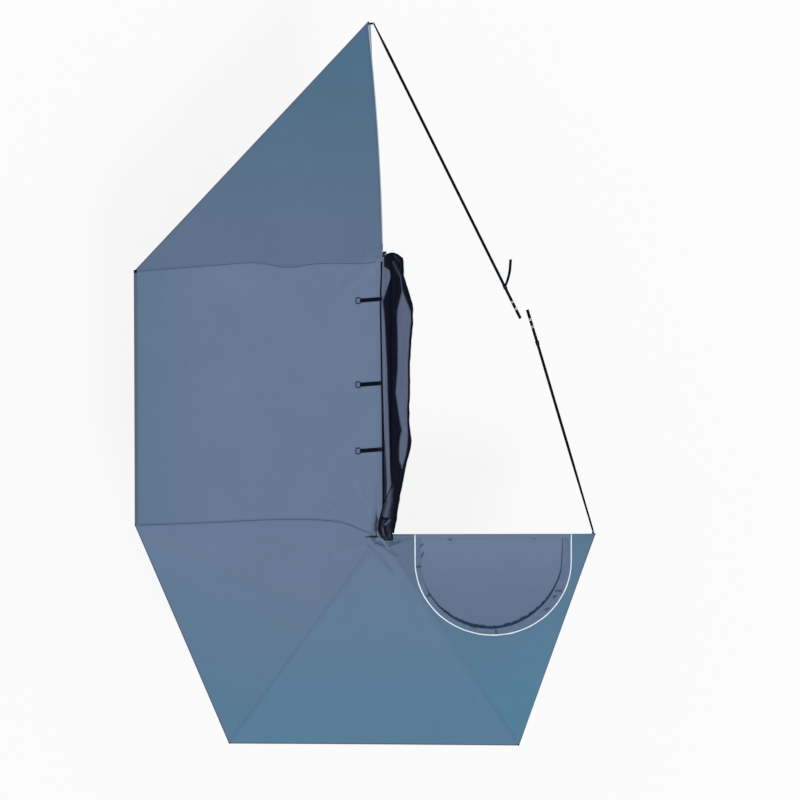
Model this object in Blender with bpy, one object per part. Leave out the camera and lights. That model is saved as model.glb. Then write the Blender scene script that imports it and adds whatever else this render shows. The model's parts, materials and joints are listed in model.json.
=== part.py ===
"""Vehicle side awning that opens round the side and the back of a vehicle.

Metres, +Z up, +Y towards the vehicle's front, +X towards the vehicle.
The origin is the centre of the middle bracket's foot, where it sits on a roof bar.
The awning is modelled open. Front and rear arms swing on two upright pins.
"""

import math

import bmesh
import bpy
from mathutils import Matrix, Vector

# Fits
GAP = 0.0003            # between pieces that touch
RUNNING = 0.0003        # radial clearance of a pin in an arm
SEAM = 0.0003           # from an arm's line to the edge of each panel beside it
OVER_TIP = 0.001        # from the top of an arm's tip to the cloth

# Mounting rail, an aluminium extrusion
RAIL_LENGTH = 2.480
RAIL_DEPTH = 0.032
RAIL_HEIGHT = 0.060
RAIL_WALL = 0.0025
SLOT_MOUTH = 0.009      # T slot in the rail's back
SLOT_CAVITY = 0.018
SLOT_LIP = 0.003
SLOT_DEPTH = 0.007
GROOVE_RADIUS = 0.0045  # welt grooves in the rail's top
GROOVE_MOUTH = 0.004
GROOVE_LIP = 0.0015
GROOVE_INSET = 0.008    # from the rail's edge to the groove's middle
RAIL_CAP = 0.004

# Brackets that carry the rail on three roof bars
BRACKET_FOOT = 0.080
BRACKET_LEG = 0.055
BRACKET_WIDTH = 0.050
BRACKET_PLATE = 0.005
BRACKET_FILLET = 0.006
FOOT_SLOT_WIDTH = 0.009
FOOT_SLOT_LENGTH = 0.024
FOOT_SLOT_FROM_END = 0.008
FRONT_BAR = 0.695       # from the middle roof bar to the front one
REAR_BAR = 0.537
BOLT_RADIUS = 0.004
BOLT_HOLE = 0.0045
BOLT_HEAD = (0.016, 0.012, 0.0055)
NUT_RADIUS = 0.0075
NUT_HEIGHT = 0.0065

# Arms, rectangular aluminium tube. Angles are from folded to open
APEX_ARM = 2.078
FRONT_SIDE_ARM = 2.158
REAR_SIDE_ARM = 2.149
REAR_LEFT_ARM = 2.241
REAR_RIGHT_ARM = 2.195
REAR_EDGE_ARM = 1.885
APEX_OPEN = 177.3
FRONT_SIDE_OPEN = 86.6
REAR_SIDE_OPEN = 87.4
REAR_LEFT_OPEN = 143.9
REAR_RIGHT_OPEN = 213.5
REAR_EDGE_OPEN = 270.1
ARM_WIDTH = 0.028
ARM_HEIGHT = 0.020
ARM_WALL = 0.0018
ARM_CORNER = 0.003
KNUCKLE_LENGTH = 0.060
SPIGOT_LENGTH = 0.045
CAP_NOSE = 0.018
LUG_LENGTH = 0.018      # the lug on two caps that the tension straps hook on
LUG_REACH = 0.036
LUG_PLATE = 0.003
LUG_HOLE = 0.005
WASHER_THICKNESS = 0.002
WASHER_MARGIN = 0.002   # from a washer's rim to the side of its arm
PIN_RADIUS = 0.006
PIN_HEAD_RADIUS = 0.0095
PIN_HEAD_HEIGHT = 0.006

# Hinge brackets
HINGE_PLATE = 0.005
HINGE_LOBE = 0.022
REAR_LOBE_TURN = 40     # degrees that the rear bracket's round end is turned by
ARM_CLEARANCE = 0.004   # from a folded arm to the bracket's web
WEB_LENGTH = 0.130
WEB_FROM_RAIL_END = 0.005
WEB_TOP = 0.055
FRONT_PIVOT_INSET = 0.060
REAR_PIVOT_OVERHANG = 0.018
SCREW_RADIUS = 0.003
SCREW_HEAD_RADIUS = 0.0055
SCREW_HEAD_HEIGHT = 0.0045
SCREW_CROWN_RADIUS = 0.0041
FRONT_SCREW_FROM_BACK = 0.010
FRONT_SCREW_FROM_FACE = 0.006
FRONT_SCREW_FROM_END = 0.024
FRONT_SCREW_SPACING = 0.032
REAR_SCREW_FROM_END = 0.030
REAR_SCREW_SPACING = 0.075

# Canopy cloth
CLOTH = 0.002
WELT_NECK = 0.0015      # how far the welts stand out of the grooves
WELT_END = 0.200        # from the rail's end to the welt's end
NOTCH = 0.035           # free space round the front pivot
VALANCE = 0.030         # how far the outer edges hang down
APEX_TIP_WIDTH = 0.025
APEX_OVERHANG = (-0.007, 0.011)
FRONT_SIDE_OVERHANG = (-0.010, 0.015)
REAR_SIDE_OVERHANG = (-0.012, -0.002)
REAR_LEFT_OVERHANG = (-0.011, -0.017)
REAR_RIGHT_OVERHANG = (0.012, -0.017)
REAR_EDGE_OVERHANG = (0.014, 0.015)
APEX_EDGE_BOW = 0.024   # the front panel's inner edge bows out past its arm

# Zipped flap in the rear right panel
FLAP_FROM_PIVOT = 0.302
FLAP_FROM_TIP = 0.197
FLAP_STRAIGHT = 0.205
FLAP_ROUND = 0.655
FLAP_FROM_ARM = 0.003
ZIP_WIDTH = 0.012

# Travel cover, thrown back over the roof bars
COVER_SHEET = 0.002
COVER_RISE = 0.0055     # the cover's fold line above the rail
COVER_REST = 0.0085     # where the cover lies, above the roof bars
COVER_ZIP_RADIUS = 0.003
COVER_EASE = 0.004      # how far the cover runs level past the brackets' legs
COVER_LANDING = 0.048   # from the bolts' ends to where the cover lies flat
# Its fall behind the rail: distance past the bolts' ends, and share of the rail's height
COVER_FALL = ((0.006, 0.86), (0.014, 0.55), (0.026, 0.27))
# Where it ends towards the vehicle, at shares of the rail's length from its middle
COVER_REACHES = ((-0.498, 0.034), (-0.460, 0.050), (-0.387, 0.078), (-0.315, 0.112),
                 (-0.222, 0.156), (-0.169, 0.180), (-0.077, 0.157), (0.109, 0.157),
                 (0.181, 0.170), (0.278, 0.196), (0.323, 0.192), (0.419, 0.113),
                 (0.480, 0.110), (0.498, 0.070))

# Webbing straps
ROLL_STRAP_WIDTH = 0.028
ROLL_STRAP_LENGTH = 0.215
ROLL_STRAP_SHARES = (0.33, 0.032, -0.2025)
STRAP_WIDTH = 0.025
WEBBING = 0.0016
BAR_WIDTH = 0.066       # the roof bar that the tension straps go round
BAR_HEIGHT = 0.030
FRONT_STRAP_BAR_X = 1.120
REAR_STRAP_BAR_X = 1.211
BUCKLE_FROM_BAR = 0.230
BUCKLE = (0.036, 0.034, 0.010)
BUCKLE_LEVER = (0.022, 0.027)

# Places that follow from the sizes
RAIL_BACK = -BRACKET_FOOT / 2 - GAP
RAIL_FACE = RAIL_BACK - RAIL_DEPTH
RAIL_END = RAIL_LENGTH / 2
CANOPY_GROOVE = RAIL_FACE + GROOVE_INSET
COVER_GROOVE = RAIL_BACK - GROOVE_INSET
WEB_FACE = RAIL_FACE - GAP - HINGE_PLATE
PIVOT_X = WEB_FACE - ARM_CLEARANCE - ARM_WIDTH / 2
FRONT_PIVOT = Vector((PIVOT_X, RAIL_END - FRONT_PIVOT_INSET))
REAR_PIVOT = Vector((PIVOT_X, -RAIL_END - REAR_PIVOT_OVERHANG))
LEVEL_STEP = ARM_HEIGHT + WASHER_THICKNESS + 2 * GAP
CLOTH_AT_RAIL = RAIL_HEIGHT + WELT_NECK + GAP
WELT_HALF = RAIL_END - WELT_END
STRAP_TURN = 4 * WEBBING    # radius of a tension strap's turns round the roof bar
STRAP_OVER = WEBBING / 2 + GAP
STRAP_UNDER = -BAR_HEIGHT - STRAP_OVER

BAR_PLACES = {"front": FRONT_BAR, "middle": 0.0, "rear": -REAR_BAR}

# Each arm: hinge, length, angle from folded to open, overhang of the canopy's corner
# past its tip, and its level counted from the top of the stack
ARMS = {
    "apex": ("front", APEX_ARM, APEX_OPEN, APEX_OVERHANG, 1),
    "front_side": ("front", FRONT_SIDE_ARM, FRONT_SIDE_OPEN, FRONT_SIDE_OVERHANG, 0),
    "rear_side": ("rear", REAR_SIDE_ARM, REAR_SIDE_OPEN, REAR_SIDE_OVERHANG, 2),
    "rear_left": ("rear", REAR_LEFT_ARM, REAR_LEFT_OPEN, REAR_LEFT_OVERHANG, 3),
    "rear_right": ("rear", REAR_RIGHT_ARM, REAR_RIGHT_OPEN, REAR_RIGHT_OVERHANG, 4),
    "rear_edge": ("rear", REAR_EDGE_ARM, REAR_EDGE_OPEN, REAR_EDGE_OVERHANG, 5),
}
PIVOTS = {"front": FRONT_PIVOT, "rear": REAR_PIVOT}


def level_top(level):
    """Height of the top of the arm on a level."""
    return RAIL_HEIGHT - level * LEVEL_STEP


def way_of(arm):
    """An open arm's direction. Folded, front arms point back and rear arms forward."""
    hinge, _, turn, _, _ = ARMS[arm]
    angle = math.radians(270 - turn if hinge == "front" else 90 + turn)
    return Vector((math.cos(angle), math.sin(angle)))


def pivot_of(arm):
    return PIVOTS[ARMS[arm][0]]


def tip_of(arm):
    return pivot_of(arm) + way_of(arm) * ARMS[arm][1]


def corner_of(arm):
    return tip_of(arm) + Vector(ARMS[arm][3])


def top_of(arm):
    return level_top(ARMS[arm][4])


def cloth_at_tip(arm):
    return top_of(arm) + OVER_TIP


# Materials

def material(name, colour, roughness, metallic=0.0):
    """One Principled material."""
    found = bpy.data.materials.get(name)
    if found:
        return found
    made = bpy.data.materials.new(name)
    made.use_nodes = True
    shader = made.node_tree.nodes["Principled BSDF"]
    shader.inputs["Base Color"].default_value = (*colour, 1.0)
    shader.inputs["Roughness"].default_value = roughness
    shader.inputs["Metallic"].default_value = metallic
    return made


def rail_metal():
    return material("anodised_rail", (0.36, 0.39, 0.44), 0.35, 1.0)


def arm_metal():
    return material("arm_tube", (0.42, 0.43, 0.45), 0.4, 1.0)


def black_steel():
    return material("powder_coated_steel", (0.012, 0.013, 0.016), 0.45)


def bright_steel():
    return material("zinc_steel", (0.72, 0.73, 0.75), 0.28, 1.0)


def black_plastic():
    return material("black_nylon", (0.014, 0.014, 0.016), 0.5)


def canopy_cloth():
    return material("canopy_cloth", (0.115, 0.175, 0.25), 0.75)


def cover_sheet():
    return material("cover_pvc", (0.012, 0.014, 0.022), 0.5)


def zip_tape():
    return material("zip_tape", (0.70, 0.76, 0.82), 0.6)


def webbing_cloth():
    return material("webbing", (0.009, 0.012, 0.018), 0.8)


# Shape tools

def add(name, mesh, look, parent=None):
    """A named object from a mesh, with its material."""
    made = bpy.data.objects.new(name, mesh)
    bpy.context.scene.collection.objects.link(made)
    made.data.materials.append(look)
    if parent:
        made.parent = parent
    return made


def finish(obj, angle=35.0):
    """Smooth shading with sharp edges past an angle."""
    obj.data.shade_smooth()
    obj.data.set_sharp_from_angle(angle=math.radians(angle))
    return obj


def mesh_from(bm, name):
    bmesh.ops.recalc_face_normals(bm, faces=bm.faces)
    mesh = bpy.data.meshes.new(name)
    bm.to_mesh(mesh)
    bm.free()
    return mesh


def prism(name, outline, low, high):
    """An outline in X and Y, extruded from one height to another."""
    bm = bmesh.new()
    bottom = bm.faces.new([bm.verts.new((x, y, low)) for x, y in outline])
    raised = bmesh.ops.extrude_face_region(bm, geom=[bottom])
    top = [v for v in raised["geom"] if isinstance(v, bmesh.types.BMVert)]
    bmesh.ops.translate(bm, verts=top, vec=(0, 0, high - low))
    return mesh_from(bm, name)


def arc(centre, radius, start, end, steps):
    """Points on an arc, angles in degrees."""
    cx, cy = centre
    angles = [math.radians(start + (end - start) * i / steps) for i in range(steps + 1)]
    return [(cx + radius * math.cos(a), cy + radius * math.sin(a)) for a in angles]


def circle(centre, radius, steps=32):
    return arc(centre, radius, 0, 360, steps)[:-1]


def box_outline(x0, x1, y0, y1):
    return [(x0, y0), (x1, y0), (x1, y1), (x0, y1)]


def rounded_box(width, height, radius, steps=3):
    """A rectangle about the middle with round corners."""
    points = []
    for cx, cy, start in ((1, 1, 0), (-1, 1, 90), (-1, -1, 180), (1, -1, 270)):
        centre = (cx * (width / 2 - radius), cy * (height / 2 - radius))
        points += arc(centre, radius, start, start + 90, steps)
    return points


def settle(obj):
    """Apply an object's modifiers to its mesh."""
    graph = bpy.context.evaluated_depsgraph_get()
    done = bpy.data.meshes.new_from_object(obj.evaluated_get(graph))
    obj.modifiers.clear()
    obj.data = done
    return obj


def combine(obj, tools, operation):
    """Boolean an object with tool meshes that are in its own frame."""
    bpy.context.view_layer.update()
    for tool in tools:
        other = bpy.data.objects.new("tool", tool)
        bpy.context.scene.collection.objects.link(other)
        other.matrix_world = obj.matrix_world
        step = obj.modifiers.new("cut", "BOOLEAN")
        step.operation = operation
        step.solver = "EXACT"
        step.object = other
        bpy.context.view_layer.update()
        settle(obj)
        bpy.data.objects.remove(other)
    return obj


def turned(mesh, matrix):
    mesh.transform(matrix)
    if matrix.to_3x3().determinant() < 0:
        mesh.flip_normals()
    return mesh


def bevelled(obj, width, segments=2, angle=50.0):
    step = obj.modifiers.new("edges", "BEVEL")
    step.width = width
    step.segments = segments
    step.limit_method = "ANGLE"
    step.angle_limit = math.radians(angle)
    bpy.context.view_layer.update()
    return settle(obj)


def raised_outline(name, outline, height, thickness):
    """A sheet with an outline in plan, whose underside follows a height function."""
    bm = bmesh.new()
    low = [bm.verts.new((x, y, height(x, y))) for x, y in outline]
    high = [bm.verts.new((x, y, height(x, y) + thickness)) for x, y in outline]
    bm.faces.new(low)
    bm.faces.new(high)
    for i in range(len(outline)):
        j = (i + 1) % len(outline)
        bm.faces.new((low[i], low[j], high[j], high[i]))
    return mesh_from(bm, name)


def raised_grid(name, rows, thickness):
    """A sheet from rows of points on its underside, thickened upwards."""
    bm = bmesh.new()
    low = [[bm.verts.new(p) for p in row] for row in rows]
    high = [[bm.verts.new((p[0], p[1], p[2] + thickness)) for p in row] for row in rows]
    across, along = len(rows[0]), len(rows)
    for grid in (low, high):
        for j in range(along - 1):
            for i in range(across - 1):
                bm.faces.new((grid[j][i], grid[j][i + 1], grid[j + 1][i + 1], grid[j + 1][i]))
    rim = [(j, 0) for j in range(along)]
    rim += [(along - 1, i) for i in range(1, across)]
    rim += [(j, across - 1) for j in range(along - 2, -1, -1)]
    rim += [(0, i) for i in range(across - 2, 0, -1)]
    for k in range(len(rim)):
        a, b = rim[k], rim[(k + 1) % len(rim)]
        bm.faces.new((low[a[0]][a[1]], low[b[0]][b[1]], high[b[0]][b[1]], high[a[0]][a[1]]))
    return mesh_from(bm, name)


def strip(name, middle, side, width, thickness):
    """A flat strap along a line of points, with its width along side."""
    bm = bmesh.new()
    points = [Vector(p) for p in middle]
    side = Vector(side).normalized()
    loops = []
    for i, point in enumerate(points):
        before = points[max(i - 1, 0)]
        after = points[min(i + 1, len(points) - 1)]
        up = side.cross((after - before).normalized()).normalized()
        across, rise = side * width / 2, up * thickness / 2
        corners = (point - across - rise, point + across - rise,
                   point + across + rise, point - across + rise)
        loops.append([bm.verts.new(c) for c in corners])
    for one, two in zip(loops, loops[1:]):
        for k in range(4):
            bm.faces.new((one[k], one[(k + 1) % 4], two[(k + 1) % 4], two[k]))
    bm.faces.new(loops[0])
    bm.faces.new(loops[-1])
    return mesh_from(bm, name)


# Rail and what carries it

def groove_arc(x, steps=14):
    """The round welt groove, from the right of its mouth round to the left."""
    half = GROOVE_MOUTH / 2
    spread = math.degrees(math.asin(half / GROOVE_RADIUS))
    centre = (x, groove_height())
    return arc(centre, GROOVE_RADIUS, 90 - spread, 90 + spread - 360, steps)


def groove_height():
    half = GROOVE_MOUTH / 2
    return RAIL_HEIGHT - GROOVE_LIP - math.sqrt(GROOVE_RADIUS ** 2 - half ** 2)


# Outlines drawn across the rail lie in X and Z, and are extruded along Y
ACROSS_RAIL = Matrix.Rotation(math.radians(90), 4, "X")


def along_rail(name, outline, low, high):
    """An outline in X and Z, extruded along Y from low to high."""
    return turned(prism(name, outline, -high, -low), ACROSS_RAIL)


def mounting_rail():
    middle, mouth, cavity = RAIL_HEIGHT / 2, SLOT_MOUTH / 2, SLOT_CAVITY / 2
    lip, floor = RAIL_BACK - SLOT_LIP, RAIL_BACK - SLOT_LIP - SLOT_DEPTH
    half = GROOVE_MOUTH / 2
    outline = [(RAIL_BACK, 0), (RAIL_BACK, middle - mouth), (lip, middle - mouth),
               (lip, middle - cavity), (floor, middle - cavity), (floor, middle + cavity),
               (lip, middle + cavity), (lip, middle + mouth), (RAIL_BACK, middle + mouth),
               (RAIL_BACK, RAIL_HEIGHT)]
    for x in (COVER_GROOVE, CANOPY_GROOVE):
        outline += [(x + half, RAIL_HEIGHT)] + groove_arc(x) + [(x - half, RAIL_HEIGHT)]
    outline += [(RAIL_FACE, RAIL_HEIGHT), (RAIL_FACE, 0)]
    mesh = along_rail("mounting_rail", outline, -RAIL_END, RAIL_END)
    rail = add("mounting_rail", mesh, rail_metal())
    x0, x1, z0, z1 = chamber()
    past = RAIL_END + RAIL_WALL
    hollow = along_rail("hollow", box_outline(x0, x1, z0, z1), -past, past)
    return finish(combine(rail, [hollow], "DIFFERENCE"))


def chamber():
    """The rail's hollow: low and high X, low and high Z."""
    floor = RAIL_BACK - SLOT_LIP - SLOT_DEPTH
    top = groove_height() - GROOVE_RADIUS - RAIL_WALL
    return RAIL_FACE + RAIL_WALL, floor - RAIL_WALL, RAIL_WALL, top


def rail_cap(end, sign):
    """A moulded cap with a plug in the rail's hollow."""
    middle = Vector(((RAIL_BACK + RAIL_FACE) / 2, RAIL_HEIGHT / 2))
    outline = [Vector(p) + middle for p in rounded_box(RAIL_DEPTH, RAIL_HEIGHT, ARM_CORNER)]
    near, far = RAIL_END + GAP, RAIL_END + GAP + RAIL_CAP
    span = sorted((sign * near, sign * far))
    cap = add(f"rail_cap_{end}", along_rail("cap", outline, *span), black_plastic())
    x0, x1, z0, z1 = chamber()
    plug_outline = box_outline(x0 + GAP, x1 - GAP, z0 + GAP, z1 - GAP)
    plug_span = sorted((sign * (near + RAIL_CAP / 2), sign * (RAIL_END - 4 * RAIL_CAP)))
    plug = along_rail("plug", plug_outline, *plug_span)
    return finish(combine(cap, [plug], "UNION"))


def mount_bracket(place, y):
    """An L bracket: its leg on the rail's back and its foot on a roof bar."""
    half, plate = BRACKET_FOOT / 2, BRACKET_PLATE
    inner = (-half + plate + BRACKET_FILLET, plate + BRACKET_FILLET)
    outline = [(-half, 0), (half, 0), (half, plate)]
    outline += arc(inner, BRACKET_FILLET, 270, 180, 5)
    outline += [(-half + plate, BRACKET_LEG), (-half, BRACKET_LEG)]
    wide = BRACKET_WIDTH / 2
    mesh = along_rail("bracket", outline, y - wide, y + wide)
    bracket = add(f"mount_bracket_{place}", mesh, black_steel())
    end = half - FOOT_SLOT_FROM_END - FOOT_SLOT_WIDTH / 2
    start = end - FOOT_SLOT_LENGTH + FOOT_SLOT_WIDTH
    slot = arc((end, y), FOOT_SLOT_WIDTH / 2, -90, 90, 8)
    slot += arc((start, y), FOOT_SLOT_WIDTH / 2, 90, 270, 8)
    cut = prism("slot", slot, -plate, 2 * plate)
    hole = prism("hole", circle((0, 0), BOLT_HOLE), -half - plate, -half + 2 * plate)
    place_hole = Matrix.Translation((0, y, RAIL_HEIGHT / 2)) @ TOWARDS_VEHICLE
    return finish(combine(bracket, [cut, turned(hole, place_hole)], "DIFFERENCE"))


# A shape along Z is turned to lie along X
TOWARDS_VEHICLE = Matrix.Rotation(math.radians(90), 4, "Y")


def mount_bolt(place, y):
    """A T bolt in the rail's slot, with the nut on the bracket's leg."""
    long, wide, thick = BOLT_HEAD
    seat = RAIL_BACK - SLOT_LIP - GAP
    nut = -BRACKET_FOOT / 2 + BRACKET_PLATE + GAP
    end = nut + NUT_HEIGHT + BOLT_RADIUS / 2
    overlap = thick / 4
    head = prism("head", rounded_box(long, wide, thick / 4), seat - thick, seat)
    shank = prism("shank", circle((0, 0), BOLT_RADIUS, 16), seat - overlap, end)
    hexagon = prism("nut", circle((0, 0), NUT_RADIUS, 6), nut, nut + NUT_HEIGHT)
    bolt = add(f"mount_bolt_{place}", head, bright_steel())
    combine(bolt, [shank, hexagon], "UNION")
    move = Matrix.Translation((0, y, RAIL_HEIGHT / 2)) @ TOWARDS_VEHICLE
    bolt.data.transform(move)
    return finish(bolt)


def welt(name, x):
    """The round welt that holds cloth in a groove, with its neck."""
    radius = GROOVE_RADIUS - GAP - GAP / 2
    half = GROOVE_MOUTH / 2 - 2 * GAP
    spread = math.degrees(math.asin(half / radius))
    outline = arc((x, groove_height()), radius, 90 - spread, 90 + spread - 360, 12)
    top = RAIL_HEIGHT + WELT_NECK
    outline += [(x - half, top), (x + half, top)]
    mesh = along_rail(name, outline, -WELT_HALF, WELT_HALF)
    return finish(add(name, mesh, black_plastic()))


# Hinges

def hinge_levels(side):
    """Lowest and highest arm level on a hinge."""
    levels = [level for hinge, _, _, _, level in ARMS.values() if hinge == side]
    return max(levels), min(levels)


def hinge_bracket(side):
    """Two plates and a web. The front one's top plate also lies on the rail."""
    front = side == "front"
    pivot = FRONT_PIVOT if front else REAR_PIVOT
    low, high = hinge_levels(side)
    floor = level_top(low) - ARM_HEIGHT - WASHER_THICKNESS - 2 * GAP
    roof = level_top(high) + GAP
    near, far = RAIL_END - WEB_FROM_RAIL_END, RAIL_END - WEB_FROM_RAIL_END - WEB_LENGTH
    y0, y1 = (far, near) if front else (-near, -far)
    inner = WEB_FACE + HINGE_PLATE
    centre = tuple(pivot)
    turn = 90 if front else 90 + REAR_LOBE_TURN
    face = [(WEB_FACE, y1)] + arc(centre, HINGE_LOBE, turn, turn + 180, 12)
    if front:
        face.append((WEB_FACE, y0))
    plate = [(inner, y0), (inner, y1)] + face
    web = prism("web", box_outline(WEB_FACE, inner, y0, y1),
                floor - HINGE_PLATE / 2, roof + HINGE_PLATE / 2 if front else WEB_TOP)
    bottom = prism("bottom", plate, floor - HINGE_PLATE, floor)
    bracket = add(f"{side}_hinge_bracket", bottom, black_steel())
    shelf = RAIL_BACK - GAP if front else inner
    top = prism("top", [(shelf, y0), (shelf, y1)] + face, roof, roof + HINGE_PLATE)
    combine(bracket, [web, top], "UNION")
    hole = PIN_RADIUS + GAP
    cuts = [prism("bore", circle(centre, hole), floor - 2 * HINGE_PLATE, roof + 2 * HINGE_PLATE)]
    for x, y, z in hinge_screw_places(side):
        if front:
            cuts.append(prism("hole", circle((x, y), SCREW_RADIUS + GAP, 16), roof - GAP / 2,
                              roof + 2 * HINGE_PLATE))
        else:
            through = prism("hole", circle((0, 0), SCREW_RADIUS + GAP, 16),
                            -2 * HINGE_PLATE, 2 * HINGE_PLATE)
            place = Matrix.Translation((WEB_FACE, y, z)) @ TOWARDS_VEHICLE
            cuts.append(turned(through, place))
    return finish(combine(bracket, cuts, "DIFFERENCE"))


def hinge_screw_places(side):
    """Two screws hold each hinge bracket to the rail: front ones from above."""
    if side == "front":
        top = RAIL_HEIGHT + GAP + HINGE_PLATE
        first = RAIL_END - FRONT_SCREW_FROM_END
        return [(RAIL_BACK - FRONT_SCREW_FROM_BACK, first, top),
                (RAIL_FACE + FRONT_SCREW_FROM_FACE, first - FRONT_SCREW_SPACING, top)]
    _, high = hinge_levels(side)
    height = (level_top(high) + RAIL_HEIGHT) / 2
    first = -RAIL_END + REAR_SCREW_FROM_END
    return [(WEB_FACE, first, height), (WEB_FACE, first + REAR_SCREW_SPACING, height)]


def hinge_screw(side, number, place):
    """A round-headed screw, seated on the bracket."""
    profile = [(0, -HINGE_PLATE), (SCREW_RADIUS, -HINGE_PLATE), (SCREW_RADIUS, GAP),
               (SCREW_HEAD_RADIUS, GAP), (SCREW_HEAD_RADIUS, SCREW_HEAD_HEIGHT / 2),
               (SCREW_CROWN_RADIUS, SCREW_HEAD_HEIGHT), (0, SCREW_HEAD_HEIGHT)]
    mesh = revolved("screw", profile, 16)
    x, y, z = place
    turn = Matrix.Identity(4)
    if side == "rear":
        turn = Matrix.Rotation(math.radians(-90), 4, "Y")
    mesh.transform(Matrix.Translation((x, y, z)) @ turn)
    return finish(add(f"{side}_hinge_screw_{number}", mesh, bright_steel()))


def revolved(name, profile, steps):
    """A closed round shape from points of radius and height, both ends on the axis."""
    bm = bmesh.new()
    rings = []
    for radius, height in profile:
        if radius == 0:
            rings.append([bm.verts.new((0, 0, height))])
        else:
            rings.append([bm.verts.new((x, y, height)) for x, y in circle((0, 0), radius, steps)])
    for low, high in zip(rings, rings[1:]):
        for k in range(steps):
            n = (k + 1) % steps
            if len(low) == 1:
                bm.faces.new((low[0], high[k], high[n]))
            elif len(high) == 1:
                bm.faces.new((low[k], low[n], high[0]))
            else:
                bm.faces.new((low[k], low[n], high[n], high[k]))
    return mesh_from(bm, name)


def hinge_pin(side):
    """The pin bolt through both plates, with its head and nut."""
    low, high = hinge_levels(side)
    floor = level_top(low) - ARM_HEIGHT - WASHER_THICKNESS - 2 * GAP - HINGE_PLATE
    roof = level_top(high) + GAP + HINGE_PLATE
    pivot = FRONT_PIVOT if side == "front" else REAR_PIVOT
    tall = PIN_HEAD_HEIGHT
    head = prism("head", circle((0, 0), PIN_HEAD_RADIUS, 6), roof + GAP, roof + GAP + tall)
    shank = prism("shank", circle((0, 0), PIN_RADIUS, 24), floor - GAP - tall - PIN_RADIUS / 3,
                  roof + GAP + tall / 2)
    nut = prism("nut", circle((0, 0), PIN_HEAD_RADIUS, 6), floor - GAP - tall, floor - GAP)
    pin = add(f"{side}_hinge_pin", head, bright_steel())
    combine(pin, [shank, nut], "UNION")
    pin.data.transform(Matrix.Translation((*pivot, 0)))
    return finish(pin)


def ring(name, inner, outer, low, high, steps=32):
    """A flat ring about the Z axis."""
    bm = bmesh.new()
    loops = []
    for radius, height in ((inner, low), (outer, low), (outer, high), (inner, high)):
        loops.append([bm.verts.new((x, y, height)) for x, y in circle((0, 0), radius, steps)])
    for a in range(4):
        one, two = loops[a], loops[(a + 1) % 4]
        for k in range(steps):
            n = (k + 1) % steps
            bm.faces.new((one[k], one[n], two[n], two[k]))
    return mesh_from(bm, name)


# Arms

def pivot_empty(arm):
    """The joint's own frame: on the pin, with X along the arm."""
    pivot, way = pivot_of(arm), way_of(arm)
    frame = bpy.data.objects.new(f"{arm}_pivot", None)
    bpy.context.scene.collection.objects.link(frame)
    frame.location = (*pivot, top_of(arm) - ARM_HEIGHT)
    frame.rotation_euler = (0, 0, math.atan2(way.y, way.x))
    return frame


def arm_length(arm):
    return ARMS[arm][1]


def arm_knuckle(arm, frame):
    """An eye on the pin, with a plug in the arm's tube."""
    half = ARM_WIDTH / 2
    end = KNUCKLE_LENGTH - GAP
    outline = arc((0, 0), half, 90, 270, 12) + [(end, -half), (end, half)]
    knuckle = add(f"{arm}_arm_knuckle", prism("eye", outline, 0, ARM_HEIGHT), black_plastic(), frame)
    plug = spigot(end - GAP, KNUCKLE_LENGTH + SPIGOT_LENGTH)
    combine(knuckle, [plug], "UNION")
    bore = prism("bore", circle((0, 0), PIN_RADIUS + RUNNING), -GAP, ARM_HEIGHT + GAP)
    return finish(combine(knuckle, [bore], "DIFFERENCE"))


# An outline in X and Y, extruded along Z, is turned to lie across an arm
ACROSS_ARM = Matrix(((0, 0, 1, 0), (1, 0, 0, 0), (0, 1, 0, 0), (0, 0, 0, 1)))


def spigot(start, end):
    """A plug that fits inside an arm's tube."""
    less = 2 * (ARM_WALL + GAP)
    shape = rounded_box(ARM_WIDTH - less, ARM_HEIGHT - less, ARM_CORNER - ARM_WALL)
    outline = [(y, z + ARM_HEIGHT / 2) for y, z in shape]
    return turned(prism("spigot", outline, start, end), ACROSS_ARM)


def arm_tube(arm, frame):
    """A rectangular tube with round corners, open at both ends."""
    start, end = KNUCKLE_LENGTH, arm_length(arm) - CAP_NOSE
    outer = rounded_box(ARM_WIDTH, ARM_HEIGHT, ARM_CORNER)
    inner = rounded_box(ARM_WIDTH - 2 * ARM_WALL, ARM_HEIGHT - 2 * ARM_WALL,
                        ARM_CORNER - ARM_WALL)
    bm = bmesh.new()
    middle = ARM_HEIGHT / 2
    loops = []
    for x, shape in ((start, outer), (end, outer), (end, inner), (start, inner)):
        loops.append([bm.verts.new((x, y, z + middle)) for y, z in shape])
    count = len(outer)
    for a in range(4):
        one, two = loops[a], loops[(a + 1) % 4]
        for k in range(count):
            n = (k + 1) % count
            bm.faces.new((one[k], one[n], two[n], two[k]))
    return finish(add(f"{arm}_arm_tube", mesh_from(bm, "tube"), arm_metal(), frame))


def lug_side(arm):
    """On which side of its arm a cap's lug points: towards its tension strap's bar."""
    return {"apex": -1, "rear_edge": 1}.get(arm, 0)


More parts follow.
